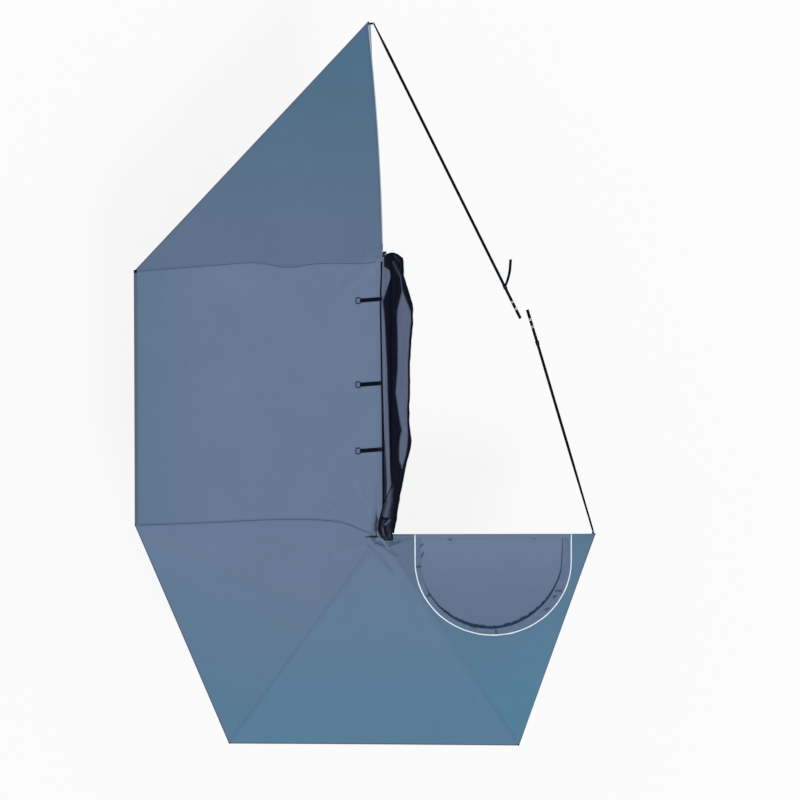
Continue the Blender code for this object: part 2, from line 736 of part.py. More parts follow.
def arm_cap(arm, frame):
    """A moulded cap with a rounded nose, plugged into the tube's end."""
    length = arm_length(arm)
    half, start = ARM_WIDTH / 2, length - CAP_NOSE + GAP
    round_end = ARM_WIDTH / 3
    outline = [(start, -half)] + arc((length - round_end, -half + round_end), round_end, -90, 0, 5)
    outline += arc((length - round_end, half - round_end), round_end, 0, 90, 5) + [(start, half)]
    cap = add(f"{arm}_arm_cap", prism("nose", outline, 0, ARM_HEIGHT), black_plastic(), frame)
    plug = spigot(start - SPIGOT_LENGTH, start + GAP)
    combine(bevelled(cap, ARM_CORNER / 3, 2), [plug], "UNION")
    side = lug_side(arm)
    if side:
        middle, low = start + LUG_LENGTH / 2 + GAP, (ARM_HEIGHT - LUG_PLATE) / 2
        reach, wide = half + LUG_REACH, LUG_LENGTH / 2
        outer = side * (reach - wide)
        near = side * (half - 2 * ARM_WALL)
        end = arc((middle, outer), wide, 0, side * 180, 10)
        lug = prism("lug", end + [(middle - wide, near), (middle + wide, near)],
                    low, low + LUG_PLATE)
        combine(cap, [lug], "UNION")
        eye = prism("eye", circle((middle, outer), LUG_HOLE, 20), 0, ARM_HEIGHT)
        combine(cap, [eye], "DIFFERENCE")
    return finish(cap)


def arm_washer(arm):
    """The washer that an arm turns on."""
    under = top_of(arm) - ARM_HEIGHT - GAP
    radius = ARM_WIDTH / 2 - WASHER_MARGIN
    washer = ring("washer", PIN_RADIUS + RUNNING, radius, under - WASHER_THICKNESS, under)
    washer.transform(Matrix.Translation((*pivot_of(arm), 0)))
    return finish(add(f"{arm}_washer", washer, bright_steel()))


# Canopy

def plane_through(a, b, c):
    """The height of the plane through three points, as a function of X and Y."""
    normal = (b - a).cross(c - a)

    def height(x, y):
        return a.z - (normal.x * (x - a.x) + normal.y * (y - a.y)) / normal.z
    return height


def wedge_height(one, two):
    """The cloth's underside between two arms of one hinge."""
    pivot = pivot_of(one)
    points = [Vector((*pivot, CLOTH_AT_RAIL))]
    points += [Vector((*tip_of(arm), cloth_at_tip(arm))) for arm in (one, two)]
    return plane_through(*points)


def beside(point, way, distance):
    """A point moved sideways, to the left of a direction."""
    unit = way.normalized()
    return point + Vector((-unit.y, unit.x)) * distance


def wedge_outline(one, two):
    """A triangle from the pivot to two corners, kept a seam's width inside its arms."""
    pivot = pivot_of(one)
    a, b = corner_of(one), corner_of(two)
    way_a, way_b = a - pivot, b - pivot
    turn = way_a.x * way_b.y - way_a.y * way_b.x
    sign = 1 if turn > 0 else -1
    half_angle = way_a.angle(way_b) / 2
    middle = (way_a.normalized() + way_b.normalized()).normalized()
    start = pivot + middle * SEAM / math.sin(half_angle)
    return [start, beside(a, way_a, sign * SEAM), beside(b, way_b, -sign * SEAM)]


def valance(points, height, inward):
    """A band that hangs down from a panel's outer edge."""
    bm = bmesh.new()
    loops = []
    for point in points:
        inner = point + inward * CLOTH
        z = height(*point)
        corners = ((point, z - VALANCE), (inner, z - VALANCE),
                   (inner, z + CLOTH / 2), (point, z + CLOTH / 2))
        loops.append([bm.verts.new((p.x, p.y, h)) for p, h in corners])
    for one, two in zip(loops, loops[1:]):
        for k in range(4):
            bm.faces.new((one[k], one[(k + 1) % 4], two[(k + 1) % 4], two[k]))
    bm.faces.new(loops[0])
    bm.faces.new(loops[-1])
    return mesh_from(bm, "valance")


def with_valance(panel, start, end, height, steps=1):
    """The panel with a band along its outer edge, a little short at each end."""
    way = (end - start).normalized()
    inward = Vector((-way.y, way.x))
    middle = (REAR_PIVOT + FRONT_PIVOT) / 2
    if inward.dot(middle - start) < 0:
        inward = -inward
    first, last = start + way * 2 * CLOTH, end - way * 2 * CLOTH
    points = [first.lerp(last, i / steps) for i in range(steps + 1)]
    return combine(panel, [valance(points, height, inward)], "UNION")


def rear_wedge(name, one, two):
    corners = wedge_outline(one, two)
    height = wedge_height(one, two)
    mesh = raised_outline(name, [tuple(p) for p in corners], height, CLOTH)
    panel = add(name, mesh, canopy_cloth())
    return with_valance(panel, corners[1], corners[2], height)


def front_panel():
    """The front triangle. Its inner edge bows past the apex arm and clears the hinge."""
    pivot, apex, side = FRONT_PIVOT, corner_of("apex"), corner_of("front_side")
    past_rail = RAIL_END + 2 * RAIL_CAP
    inner_start = Vector((CANOPY_GROOVE, past_rail))
    inner_end = apex + Vector((APEX_TIP_WIDTH, 0))
    across = inner_end - inner_start
    edge = []
    steps = 8
    for i in range(steps + 1):
        t = i / steps
        point = inner_start.lerp(inner_end, t)
        edge.append(beside(point, across, -4 * APEX_EDGE_BOW * t * (1 - t)))
    way = side - pivot
    corner = beside(side, way, -SEAM)
    outline = edge + [apex, corner, beside(pivot + way.normalized() * NOTCH, way, -SEAM)]
    outline += [Vector((pivot.x - NOTCH, past_rail))]
    height = wedge_height("apex", "front_side")
    mesh = raised_outline("front_panel", [tuple(p) for p in outline], height, CLOTH)
    panel = add("front_panel", mesh, canopy_cloth())
    return with_valance(panel, apex, corner, height)


def side_rows():
    """Inner and outer end of each row of the side panel, from rear to front."""
    front, rear = corner_of("front_side"), corner_of("rear_side")
    edge = CANOPY_GROOVE + GROOVE_MOUTH
    way_rear = (rear - REAR_PIVOT).normalized()
    way_front = (front - FRONT_PIVOT).normalized()
    inner = [beside(REAR_PIVOT + way_rear * NOTCH, way_rear, -SEAM)]
    count = 12
    inner += [Vector((edge, -WELT_HALF + 2 * WELT_HALF * i / count)) for i in range(count + 1)]
    inner += [beside(FRONT_PIVOT + way_front * NOTCH, way_front, SEAM)]
    first = beside(rear, way_rear, -SEAM)
    last = beside(front, way_front, SEAM)
    low, high = inner[0].y, inner[-1].y
    rows = []
    for point in inner:
        t = (point.y - low) / (high - low)
        rows.append((point, first.lerp(last, t)))
    return rows


def side_height(x, y):
    """The side panel's underside: level at the rail, falling to the two arm tips."""
    rear, front = corner_of("rear_side"), tip_of("front_side").y - 3 * ARM_WIDTH
    t = min(max((y - rear.y) / (front - rear.y), 0), 1)
    outer = cloth_at_tip("rear_side") * (1 - t) + cloth_at_tip("front_side") * t
    edge = CANOPY_GROOVE + GROOVE_MOUTH
    u = min(max((x - edge) / (rear.x - edge), 0), 1)
    return CLOTH_AT_RAIL * (1 - u) + outer * u


def side_panel():
    """The rectangle between the hinges, its edge held by the welt in the rail."""
    columns = 10
    rows = []
    for inner, outer in side_rows():
        points = [inner.lerp(outer, i / columns) for i in range(columns + 1)]
        rows.append([(p.x, p.y, side_height(p.x, p.y)) for p in points])
    mesh = raised_grid("side_panel", rows, CLOTH)
    panel = add("side_panel", mesh, canopy_cloth())
    start, end = (Vector(rows[i][-1][:2]) for i in (0, -1))
    return with_valance(panel, start, end, side_height, 2 * columns)


def flap_outline(margin, top_margin):
    """The flap's shape: straight across the top, straight sides, round end."""
    low, high = REAR_PIVOT.x + FLAP_FROM_PIVOT, tip_of("rear_edge").x - FLAP_FROM_TIP
    middle, wide = (low + high) / 2, (high - low) / 2 - margin
    edge = min(REAR_PIVOT.y, tip_of("rear_edge").y) - ARM_WIDTH / 2 - FLAP_FROM_ARM
    top, shoulder, deep = edge - top_margin, edge - FLAP_STRAIGHT, FLAP_ROUND - margin
    points = [(middle + wide, top)]
    steps = 28
    for i in range(steps + 1):
        angle = math.pi * i / steps
        points.append((middle + wide * math.cos(angle), shoulder - deep * math.sin(angle)))
    points.append((middle - wide, top))
    return points


def rear_right_panel():
    """The panel beside the rear edge arm, with the opening for its zipped flap."""
    pivot, edge = REAR_PIVOT, corner_of("rear_edge")
    outline = wedge_outline("rear_right", "rear_edge")
    way = edge - pivot
    outline[-1] = edge
    outline.append(beside(pivot + way.normalized() * NOTCH, way, ARM_WIDTH / 4))
    height = wedge_height("rear_right", "rear_edge")
    mesh = raised_outline("rear_right_panel", [tuple(p) for p in outline], height, CLOTH)
    panel = add("rear_right_panel", mesh, canopy_cloth())
    depth = CLOTH_AT_RAIL + LEVEL_STEP * len(ARMS)
    opening = prism("opening", flap_outline(0, 0), -depth, depth)
    combine(panel, [opening], "DIFFERENCE")
    return with_valance(panel, outline[1], edge, height)


def flap_zip():
    """The zip's tape round the flap, open at the straight edge."""
    outer = flap_outline(GAP, GAP)
    inner = flap_outline(GAP + ZIP_WIDTH, GAP)
    outline = outer + inner[::-1]
    mesh = raised_outline("flap_zip", outline, wedge_height("rear_right", "rear_edge"), CLOTH)
    return add("flap_zip", mesh, zip_tape())


def tailgate_flap():
    """The flap itself, which hangs from its straight edge when the zip is open."""
    outline = flap_outline(2 * GAP + ZIP_WIDTH, GAP)
    height = wedge_height("rear_right", "rear_edge")
    mesh = raised_outline("tailgate_flap", outline, height, CLOTH)
    return add("tailgate_flap", mesh, canopy_cloth())


# Travel cover

def cover_reach(y):
    """How far the thrown-back cover reaches towards the vehicle, along its length."""
    share = y / RAIL_LENGTH
    for (s0, x0), (s1, x1) in zip(COVER_REACHES, COVER_REACHES[1:]):
        if share <= s1:
            t = (share - s0) / (s1 - s0)
            return x0 + (x1 - x0) * t * t * (3 - 2 * t)
    return COVER_REACHES[-1][1]


def cover_section(y, start):
    """The cover across the rail: over its back edge, down, and flat on the roof bars."""
    top = RAIL_HEIGHT + COVER_RISE
    leg = -BRACKET_FOOT / 2 + BRACKET_PLATE
    bolt_end = leg + GAP + NUT_HEIGHT + BOLT_RADIUS / 2
    landing = bolt_end + COVER_LANDING
    shape = [(start, top), (leg + COVER_EASE, top - COVER_SHEET)]
    shape += [(bolt_end + past, RAIL_HEIGHT * share) for past, share in COVER_FALL]
    shape.append((landing - 3 * COVER_SHEET, COVER_REST + COVER_SHEET))
    end = max(cover_reach(y), landing + 2 * COVER_SHEET)
    shape += [(landing + (end - landing) * i / 4, COVER_REST) for i in range(1, 5)]
    return shape


def cover_stations():
    """Places along the rail where the cover's section is drawn."""
    count = 26
    ends = RAIL_END - WEB_FROM_RAIL_END
    return [-ends + 2 * ends * j / count for j in range(count + 1)]


def travel_cover():
    """The sleeve's sheet, held by the welt in the rail's back groove."""
    rows = []
    ends = cover_stations()[-1]
    for y in cover_stations():
        start = COVER_GROOVE - GROOVE_MOUTH / 2
        if abs(y) > WELT_HALF:
            past = (abs(y) - WELT_HALF) / (ends - WELT_HALF)
            start = start + (RAIL_DEPTH / 2) * min(2 * past, 1)
        rows.append([(x, y, z) for x, z in cover_section(y, start)])
    bm = bmesh.new()
    grid = [[bm.verts.new(p) for p in row] for row in rows]
    for one, two in zip(grid, grid[1:]):
        for i in range(len(one) - 1):
            bm.faces.new((one[i], one[i + 1], two[i + 1], two[i]))
    cover = add("travel_cover", mesh_from(bm, "travel_cover"), cover_sheet())
    step = cover.modifiers.new("sheet", "SOLIDIFY")
    step.thickness = COVER_SHEET
    step.offset = 0
    bpy.context.view_layer.update()
    settle(cover)
    return finish(cover, 60)


def cover_zip():
    """The zip along the cover's free edge."""
    beyond = COVER_ZIP_RADIUS + 2 * GAP
    points = [(cover_section(y, 0)[-1][0] + beyond, y, COVER_REST) for y in cover_stations()]
    curve = bpy.data.curves.new("cover_zip", "CURVE")
    curve.dimensions = "3D"
    spline = curve.splines.new("POLY")
    spline.points.add(len(points) - 1)
    for place, point in zip(spline.points, points):
        place.co = (*point, 1)
    curve.bevel_depth = COVER_ZIP_RADIUS
    curve.bevel_resolution = 2
    curve.use_fill_caps = True
    made = bpy.data.objects.new("cover_zip", curve)
    bpy.context.scene.collection.objects.link(made)
    curve.materials.append(webbing_cloth())
    return made


# Straps

def roll_strap(number, y):
    """A short strap sewn on the side panel beside the rail, which ties the roll."""
    start = RAIL_FACE - ARM_CORNER
    steps = 4
    points = []
    rise = CLOTH + GAP + WEBBING / 2 + GAP
    for i in range(steps + 1):
        x = start - ROLL_STRAP_LENGTH * i / steps
        points.append((x, y, side_height(x, y) + rise))
    mesh = strip("roll_strap", points, (0, 1, 0), ROLL_STRAP_WIDTH, WEBBING)
    return add(f"roll_strap_{number}", mesh, webbing_cloth())


def strap_path(tip, bar):
    """From an arm's tip to the buckle, round the roof bar and back to the buckle."""
    unit = Vector((tip.x - bar.x, tip.y - bar.y, 0)).normalized()
    half = (BAR_WIDTH / 2) / abs(unit.y) + WEBBING + GAP
    over, under, turn = STRAP_OVER, STRAP_UNDER, STRAP_TURN
    shape = [(BUCKLE_FROM_BAR + BUCKLE[0], over + 3 * WEBBING), (half + 4 * turn, over + WEBBING),
             (half, over), (0, over), (-half + turn / 2, over), (-half - turn / 2, over - turn),
             (-half - turn / 2, under + turn), (-half + turn / 2, under), (0, under),
             (half, under), (half + turn, under + turn / 2),
             (BUCKLE_FROM_BAR - BUCKLE[0], over - 5 * WEBBING), (BUCKLE_FROM_BAR, over - turn)]
    loop = [bar + unit * s + Vector((0, 0, z)) for s, z in shape]
    steps = 12
    return [tip.lerp(loop[0], i / steps) for i in range(steps)] + loop, unit


def tension_strap(name, arm, bar_x):
    """A flat strap from an arm's tip, looped round the front roof bar."""
    bar = Vector((bar_x, FRONT_BAR, 0))
    beside_cap = ARM_WIDTH / 2 + LUG_REACH - LUG_LENGTH / 2
    end = beside(tip_of(arm), way_of(arm), lug_side(arm) * beside_cap) - way_of(arm) * CAP_NOSE / 2
    rise = (LUG_PLATE + WEBBING) / 2 + GAP
    tip = Vector((end.x, end.y, top_of(arm) - ARM_HEIGHT / 2 + rise))
    points, unit = strap_path(tip, bar)
    side = Vector((-unit.y, unit.x, 0))
    mesh = strip(name, points, side, STRAP_WIDTH, WEBBING)
    strap = add(name, mesh, webbing_cloth())
    strap_buckle(name, bar, unit)
    return strap


def strap_buckle(name, bar, unit):
    """A cam buckle: a base with a window for the strap, on the strap near the bar."""
    long, wide, tall = BUCKLE
    middle = bar + unit * (BUCKLE_FROM_BAR + long)
    body = prism("base", rounded_box(long, wide, tall / 3), 0, tall / 3)
    lever = prism("lever", rounded_box(*BUCKLE_LEVER, tall / 4), tall / 4, tall)
    buckle = add(f"{name}_buckle", body, bright_steel())
    combine(buckle, [lever], "UNION")
    turn = Matrix.Rotation(math.atan2(unit.y, unit.x), 4, "Z")
    seat = 4 * WEBBING + 3 * GAP
    buckle.data.transform(Matrix.Translation((middle.x, middle.y, seat)) @ turn)
    return finish(buckle)


def build():
    for obj in list(bpy.data.objects):
        bpy.data.objects.remove(obj)
    mounting_rail()
    rail_cap("front", 1)
    rail_cap("rear", -1)
    for place, y in BAR_PLACES.items():
        mount_bracket(place, y)
        mount_bolt(place, y)
    welt("canopy_welt", CANOPY_GROOVE)
    welt("cover_welt", COVER_GROOVE)
    for side in ("front", "rear"):
        hinge_bracket(side)
        hinge_pin(side)
        for number, place in enumerate(hinge_screw_places(side), 1):
            hinge_screw(side, number, place)
    for arm in ARMS:
        frame = pivot_empty(arm)
        arm_knuckle(arm, frame)
        arm_tube(arm, frame)
        arm_cap(arm, frame)
        arm_washer(arm)
    front_panel()
    side_panel()
    rear_wedge("rear_left_panel", "rear_side", "rear_left")
    rear_wedge("rear_panel", "rear_left", "rear_right")
    rear_right_panel()
    flap_zip()
    tailgate_flap()
    travel_cover()
    cover_zip()
    for number, share in enumerate(ROLL_STRAP_SHARES, 1):
        roll_strap(number, share * RAIL_LENGTH)
    tension_strap("front_strap", "apex", FRONT_STRAP_BAR_X)
    tension_strap("rear_strap", "rear_edge", REAR_STRAP_BAR_X)


build()
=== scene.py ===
import json
import math

import bmesh
import bpy
import numpy as np
from mathutils import Matrix, Vector, noise


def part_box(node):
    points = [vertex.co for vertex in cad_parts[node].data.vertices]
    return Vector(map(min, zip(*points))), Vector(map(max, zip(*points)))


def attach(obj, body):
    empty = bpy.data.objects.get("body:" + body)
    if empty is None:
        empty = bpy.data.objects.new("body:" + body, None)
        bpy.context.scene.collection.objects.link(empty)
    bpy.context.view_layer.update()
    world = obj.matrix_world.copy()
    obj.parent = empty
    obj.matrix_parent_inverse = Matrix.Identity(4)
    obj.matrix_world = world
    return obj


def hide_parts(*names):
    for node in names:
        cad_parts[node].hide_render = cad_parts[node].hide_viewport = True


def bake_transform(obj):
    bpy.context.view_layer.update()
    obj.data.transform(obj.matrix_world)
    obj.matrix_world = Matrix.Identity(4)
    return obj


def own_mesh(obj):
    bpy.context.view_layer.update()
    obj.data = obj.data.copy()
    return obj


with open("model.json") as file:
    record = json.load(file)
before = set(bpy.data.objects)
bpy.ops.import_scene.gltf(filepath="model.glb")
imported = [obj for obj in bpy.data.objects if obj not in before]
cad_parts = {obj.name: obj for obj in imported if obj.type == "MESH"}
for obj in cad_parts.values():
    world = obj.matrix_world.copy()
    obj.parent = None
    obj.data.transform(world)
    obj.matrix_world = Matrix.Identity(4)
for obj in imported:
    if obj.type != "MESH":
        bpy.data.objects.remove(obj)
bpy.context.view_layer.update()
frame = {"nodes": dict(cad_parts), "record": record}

bl_info = {
    "name": "Vehicle side awning",
    "version": (1, 0, 0),
    "blender": (4, 5, 0),
    "location": "3D View > Sidebar > Awning",
    "description": "Dresses the model of a fold-out side awning: cloth, seams, zips, straps, metal",
    "category": "Object",
}

JOINTS = {j["name"]: j for j in frame["record"]["behaviour"]["joints"]}

# Arm lengths, pivot to tip, as the tubes are cut
REACH = {"apex": 2.078, "front_side": 2.158, "rear_side": 2.149,
         "rear_left": 2.241, "rear_right": 2.195, "rear_edge": 1.885}
# How far the canopy's corner stands past each tip
CORNER = {"apex": (-0.007, 0.011), "front_side": (-0.010, 0.015), "rear_side": (-0.012, -0.002),
          "rear_left": (-0.011, -0.017), "rear_right": (0.012, -0.017), "rear_edge": (0.014, 0.015)}
CLOTH_TOP = 0.0638      # cloth at the rail
OVER_ARM = 0.003        # top of the cloth above an arm's tip
GROOVE_X = -0.0643      # the canopy's groove in the rail
BAND_EDGE = -0.112      # outer edge of the cloth band along the rail
HEADING_Y = -1.2445     # straight edge of the rear right panel
CLOTH = 0.0012          # thickness of one layer of cloth
SEWN = 0.0022           # thickness of a hem or a seam
LINING = 0.0011         # thickness of tapes and bands sewn on
STRAP = (0.025, 0.0016)     # width and thickness of the tension straps


def pivot(arm):
    """The pin that an arm turns on, in plan."""
    return np.array(JOINTS[f"{arm}_arm_swing"]["pos_m"][:2])


def way(arm):
    """An open arm's direction in plan."""
    low, high = JOINTS[f"{arm}_arm_swing"]["range_deg"]
    angle = math.radians(90 + abs(low) if arm.startswith("rear") else 270 - high)
    return np.array((math.cos(angle), math.sin(angle)))


def tip(arm):
    return pivot(arm) + way(arm) * REACH[arm]


def corner(arm):
    return tip(arm) + np.array(CORNER[arm])


def arm_top(arm):
    """Height of the cloth's top over an arm's tip."""
    return float(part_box(f"{arm}_arm_tube")[1][2]) + OVER_ARM


# Settings

def length(label, value, about, **more):
    return bpy.props.FloatProperty(name=label, default=value, description=about,
                                   subtype="DISTANCE", **more)


class AwningSizes(bpy.types.PropertyGroup):
    """Sizes that a user would change."""
    sag: length("Sag", 0.014, "How far each panel sags between its arms", min=0, max=0.03)
    hem: length("Hem", 0.030, "Width of the hem along the outer edges")
    seam: length("Seam", 0.022, "Width of the felled seams over the arms")
    valance: length("Valance", 0.030, "How far the outer edges hang down")
    stitch: length("Stitch pitch", 0.010, "Spacing of the stitches")
    tooth: length("Zip pitch", 0.008, "Spacing of the zip's teeth")


def colour(label, value, about):
    return bpy.props.StringProperty(name=label, default=value, description=about)


class AwningColours(bpy.types.PropertyGroup):
    """Colours as sRGB hex. Each cloth has one near the hinges and one far from them; that
    difference, and the panels' differences, are painted light.
    """
    front: colour("Front panel", "#5f728c", "Front panel near its hinge")
    front_far: colour("Front tip", "#4c6e88", "Front panel at its tip")
    side: colour("Side panel", "#687a96", "Side panel near the rail")
    side_far: colour("Side edge", "#5c778f", "Side panel at its outer edge")
    rear_left: colour("Rear left panel", "#677a97", "Rear left panel near its hinge")
    rear_left_far: colour("Rear left edge", "#587b95", "Rear left panel at its edge")
    rear: colour("Rear panel", "#677b97", "Rear panel near its hinge")
    rear_far: colour("Rear edge", "#577d98", "Rear panel at its edge")
    rear_right: colour("Rear right panel", "#5e728b", "Rear right panel near its hinge")
    rear_right_far: colour("Rear right edge", "#527f99", "Rear right panel at its edge")
    flap: colour("Flap", "#6b7a96", "Zipped flap at its hinge")
    flap_far: colour("Flap end", "#60738f", "Zipped flap at its round end")
    band: colour("Zip band", "#5f728c", "Cloth band that covers the zip")
    # Painted shadow: the dark strip under the zip band's free edge
    band_shadow: colour("Facing", "#12324b", "Dark facing under the zip band")
    hem: colour("Hem", "#5b6378", "Hems and valance")
    # Painted highlight: the pale rim along the front panel's free edge
    rim: colour("Rim", "#c6c6cf", "Bleached free edge of the front panel")
    # Painted shadow: the dark line where each side seam's fold shades the cloth
    fold: colour("Fold", "#45546c", "Folded edge of the side panel's seams")
    thread: colour("Thread", "#5a7089", "Stitches")
    piping: colour("Piping", "#e6f3ff", "Piping round the flap")
    webbing: colour("Webbing", "#050e1c", "Straps")
    cover: colour("Cover", "#0a0f1c", "Travel cover")
    # Painted reflection: the cover's paler colour where it reflects the sky
    sky_sheen: colour("Cover bloom", "#5e6981", "Travel cover where its coating has bloomed")
    metal: colour("Anodised rail", "#6c7385", "Rail")
    tube: colour("Arm tube", "#a9adb3", "Arms")
    zinc: colour("Zinc", "#d2d5d8", "Bolts and buckles")
    coat: colour("Powder coat", "#0d0f14", "Brackets")
    nylon: colour("Nylon", "#0d0f14", "Caps and knuckles")


def sizes():
    return bpy.context.scene.awning_sizes


def hues():
    return bpy.context.scene.awning_colours


# Materials

def linear(hex_colour):
    """An sRGB hex colour as linear RGBA."""
    parts = [int(hex_colour.lstrip("#")[i:i + 2], 16) / 255 for i in (0, 2, 4)]
    return (*[c / 12.92 if c <= 0.04045 else ((c + 0.055) / 1.055) ** 2.4 for c in parts], 1.0)


def node(tree, kind, inputs=None, out=0, **settings):
    """Adds a node and gives one of its outputs. An input that is a socket is linked."""
    made = tree.nodes.new(kind)
    for key, value in settings.items():
        setattr(made, key, value)
    for key, value in (inputs or {}).items():
        if isinstance(value, bpy.types.NodeSocket):
            tree.links.new(value, made.inputs[key])
        else:
            made.inputs[key].default_value = value
    return made.outputs[out] if made.outputs else None


def once(build):
    """A material is built when its name is first asked for, and found again after that."""
    def look(name, *values, **more):
        return bpy.data.materials.get(name) or build(name, *values, **more)
    return look


def new_material(name, base, roughness, constants):
    """A Principled material with its constant values on the shader, and Object coordinates."""
    made = bpy.data.materials.new(name)
    made.use_nodes = True
    tree = made.node_tree
    shader = tree.nodes["Principled BSDF"].inputs
    for key, value in {"Base Color": linear(base), "Roughness": roughness, **constants}.items():
        shader[key].default_value = value
    return made, tree, shader, node(tree, "ShaderNodeTexCoord", out="Object")


def waves(tree, along, pitch, kind="SINE"):
    """A wave that repeats every pitch along a coordinate."""
    phase = node(tree, "ShaderNodeMath", {0: along, 1: 2 * math.pi / pitch}, operation="MULTIPLY")
    return node(tree, "ShaderNodeMath", {0: phase}, operation=kind)


def weave(tree, place, thread, grid):
    """A plain weave's height: threads both ways, with a thicker one at each grid line."""
    heights = []
    for axis in node(tree, "ShaderNodeSeparateXYZ", {0: place}).node.outputs[:2]:
        line = waves(tree, axis, 2 * grid, "COSINE")
        peak = node(tree, "ShaderNodeMath", {0: line, 1: 24.0}, operation="POWER")
        heights.append(node(tree, "ShaderNodeMath",
                            {0: waves(tree, axis, thread), 1: 0.35, 2: peak},
                            operation="MULTIPLY_ADD"))
    return node(tree, "ShaderNodeMath", dict(enumerate(heights)))


def grain(tree, shader, place, scale, strength, depth, detail=3.0):
    """Fine unevenness of a surface, as its normal."""
    height = node(tree, "ShaderNodeTexNoise", {"Vector": place, "Scale": scale, "Detail": detail})
    bump = node(tree, "ShaderNodeBump",
                {"Height": height, "Strength": strength, "Distance": depth})
    tree.links.new(bump, shader["Normal"])


def smears(tree, shader, place, scale, detail, spread, least):
    """Gloss that varies a little over a surface, as handling leaves it."""
    smear = node(tree, "ShaderNodeTexNoise", {"Vector": place, "Scale": scale, "Detail": detail})
    level = node(tree, "ShaderNodeMath", {0: smear, 1: spread, 2: least},
                 operation="MULTIPLY_ADD")
    tree.links.new(level, shader["Roughness"])


@once
def canvas(name, near, far=None, run=(0, 1, 90, 91)):
    """Polycotton canvas, woven and proofed: matt, with a fine ripstop grid and a soft bloom."""
    made, tree, shader, place = new_material(name, near, 0.82, {
        "Sheen Weight": 0.12, "Sheen Roughness": 0.5, "Specular IOR Level": 0.25})
    shade = node(tree, "ShaderNodeAttribute", out="Fac", attribute_name="shade")
    # Painted light: the colour shifts greener with the distance from its hinge, as the light falls
    # differently over the one fabric
    dx, dy, start, end = run
    along = node(tree, "ShaderNodeVectorMath", {0: place, 1: (dx, dy, 0)}, "Value",
                 operation="DOT_PRODUCT")
    share = node(tree, "ShaderNodeMapRange", {0: along, 1: start, 2: end})
    tone = node(tree, "ShaderNodeMix", {0: share, 6: linear(near), 7: linear(far or near)}, 2,
                data_type="RGBA")
    # Broad unevenness of the proofing, about half a metre and a hand across
    broad = node(tree, "ShaderNodeTexNoise",
                 {"Vector": place, "Scale": 1.7, "Detail": 4.0, "Roughness": 0.55})
    close = node(tree, "ShaderNodeTexNoise", {"Vector": place, "Scale": 11.0, "Detail": 5.0})
    spread = node(tree, "ShaderNodeMath", {0: broad, 1: 0.12, 2: 0.94}, operation="MULTIPLY_ADD")
    small = node(tree, "ShaderNodeMath", {0: close, 1: 0.06, 2: -0.03}, operation="MULTIPLY_ADD")
    total = node(tree, "ShaderNodeMath", {0: spread, 1: small})
    folded = node(tree, "ShaderNodeMath", {0: total, 1: shade})
    tinted = node(tree, "ShaderNodeVectorMath", {0: tone, "Scale": folded}, operation="SCALE")
    tree.links.new(tinted, shader["Base Color"])
    # Threads are 0.5 mm; drawn at 1.6 mm so that they show. Ripstop every 8 mm
    bump = node(tree, "ShaderNodeBump", {"Height": weave(tree, place, 0.0016, 0.008),
                                         "Strength": 0.25, "Distance": 0.0006})
    soft = node(tree, "ShaderNodeBump",
                {"Height": close, "Normal": bump, "Strength": 0.35, "Distance": 0.006})
    tree.links.new(soft, shader["Normal"])
    return made


@once
def coated_sheet(name, base):
    """PVC-coated polyester: smooth and a little glossy, with painted sheen: paler where it reflects
    the sky.
    """
    made, tree, shader, place = new_material(name, base, 0.5, {"Specular IOR Level": 0.05})
    pale = node(tree, "ShaderNodeAttribute", out="Fac", attribute_name="pale")
    mottle = node(tree, "ShaderNodeTexNoise", {"Vector": place, "Scale": 26.0, "Detail": 5.0})
    uneven = node(tree, "ShaderNodeMath", {0: mottle, 1: 0.4, 2: 0.8}, operation="MULTIPLY_ADD")
    share = node(tree, "ShaderNodeMath", {0: pale, 1: uneven}, operation="MULTIPLY",
                 use_clamp=True)
    mix = node(tree, "ShaderNodeMix", {0: share, 6: linear(base), 7: linear(hues().sky_sheen)}, 2,
               data_type="RGBA")
    tree.links.new(mix, shader["Base Color"])
    grain(tree, shader, place, 90.0, 0.2, 0.001)
    return made


@once
def webbing(name, base):
    """Polyester webbing: matt, ribbed across, on the strap's own UV in metres."""
    made, tree, shader, place = new_material(name, base, 0.72, {"Specular IOR Level": 0.06})
    uv = node(tree, "ShaderNodeUVMap", uv_map="cloth")
    across_it, along_it = node(tree, "ShaderNodeSeparateXYZ", {0: uv}).node.outputs[:2]
    # Ribs every 2 mm along the strap, and cords every 3 mm across it
    height = node(tree, "ShaderNodeMath",
                  {0: waves(tree, along_it, 0.002), 1: waves(tree, across_it, 0.003)})
    bump = node(tree, "ShaderNodeBump", {"Height": height, "Strength": 0.5, "Distance": 0.0006})
    tree.links.new(bump, shader["Normal"])
    worn = node(tree, "ShaderNodeTexNoise", {"Vector": place, "Scale": 30.0, "Detail": 4.0})
    level = node(tree, "ShaderNodeMath", {0: worn, 1: 0.8, 2: 0.6}, operation="MULTIPLY_ADD")
    tint = node(tree, "ShaderNodeVectorMath", {0: linear(base)[:3], "Scale": level},
                operation="SCALE")
    tree.links.new(tint, shader["Base Color"])
    return made


@once
def drawn_metal(name, base, roughness, along):
    """Aluminium, drawn or extruded and anodised: satin, with die lines along its length."""
    made, tree, shader, place = new_material(name, base, roughness, {"Metallic": 1.0})
    stretch = [900.0] * 3
    stretch[along] = 3.0
    lined = node(tree, "ShaderNodeMapping", {"Vector": place, "Scale": stretch})
    grain(tree, shader, lined, 1.0, 0.12, 0.0004, 2.0)
    smears(tree, shader, place, 14.0, 5.0, 0.22, roughness - 0.11)
    return made


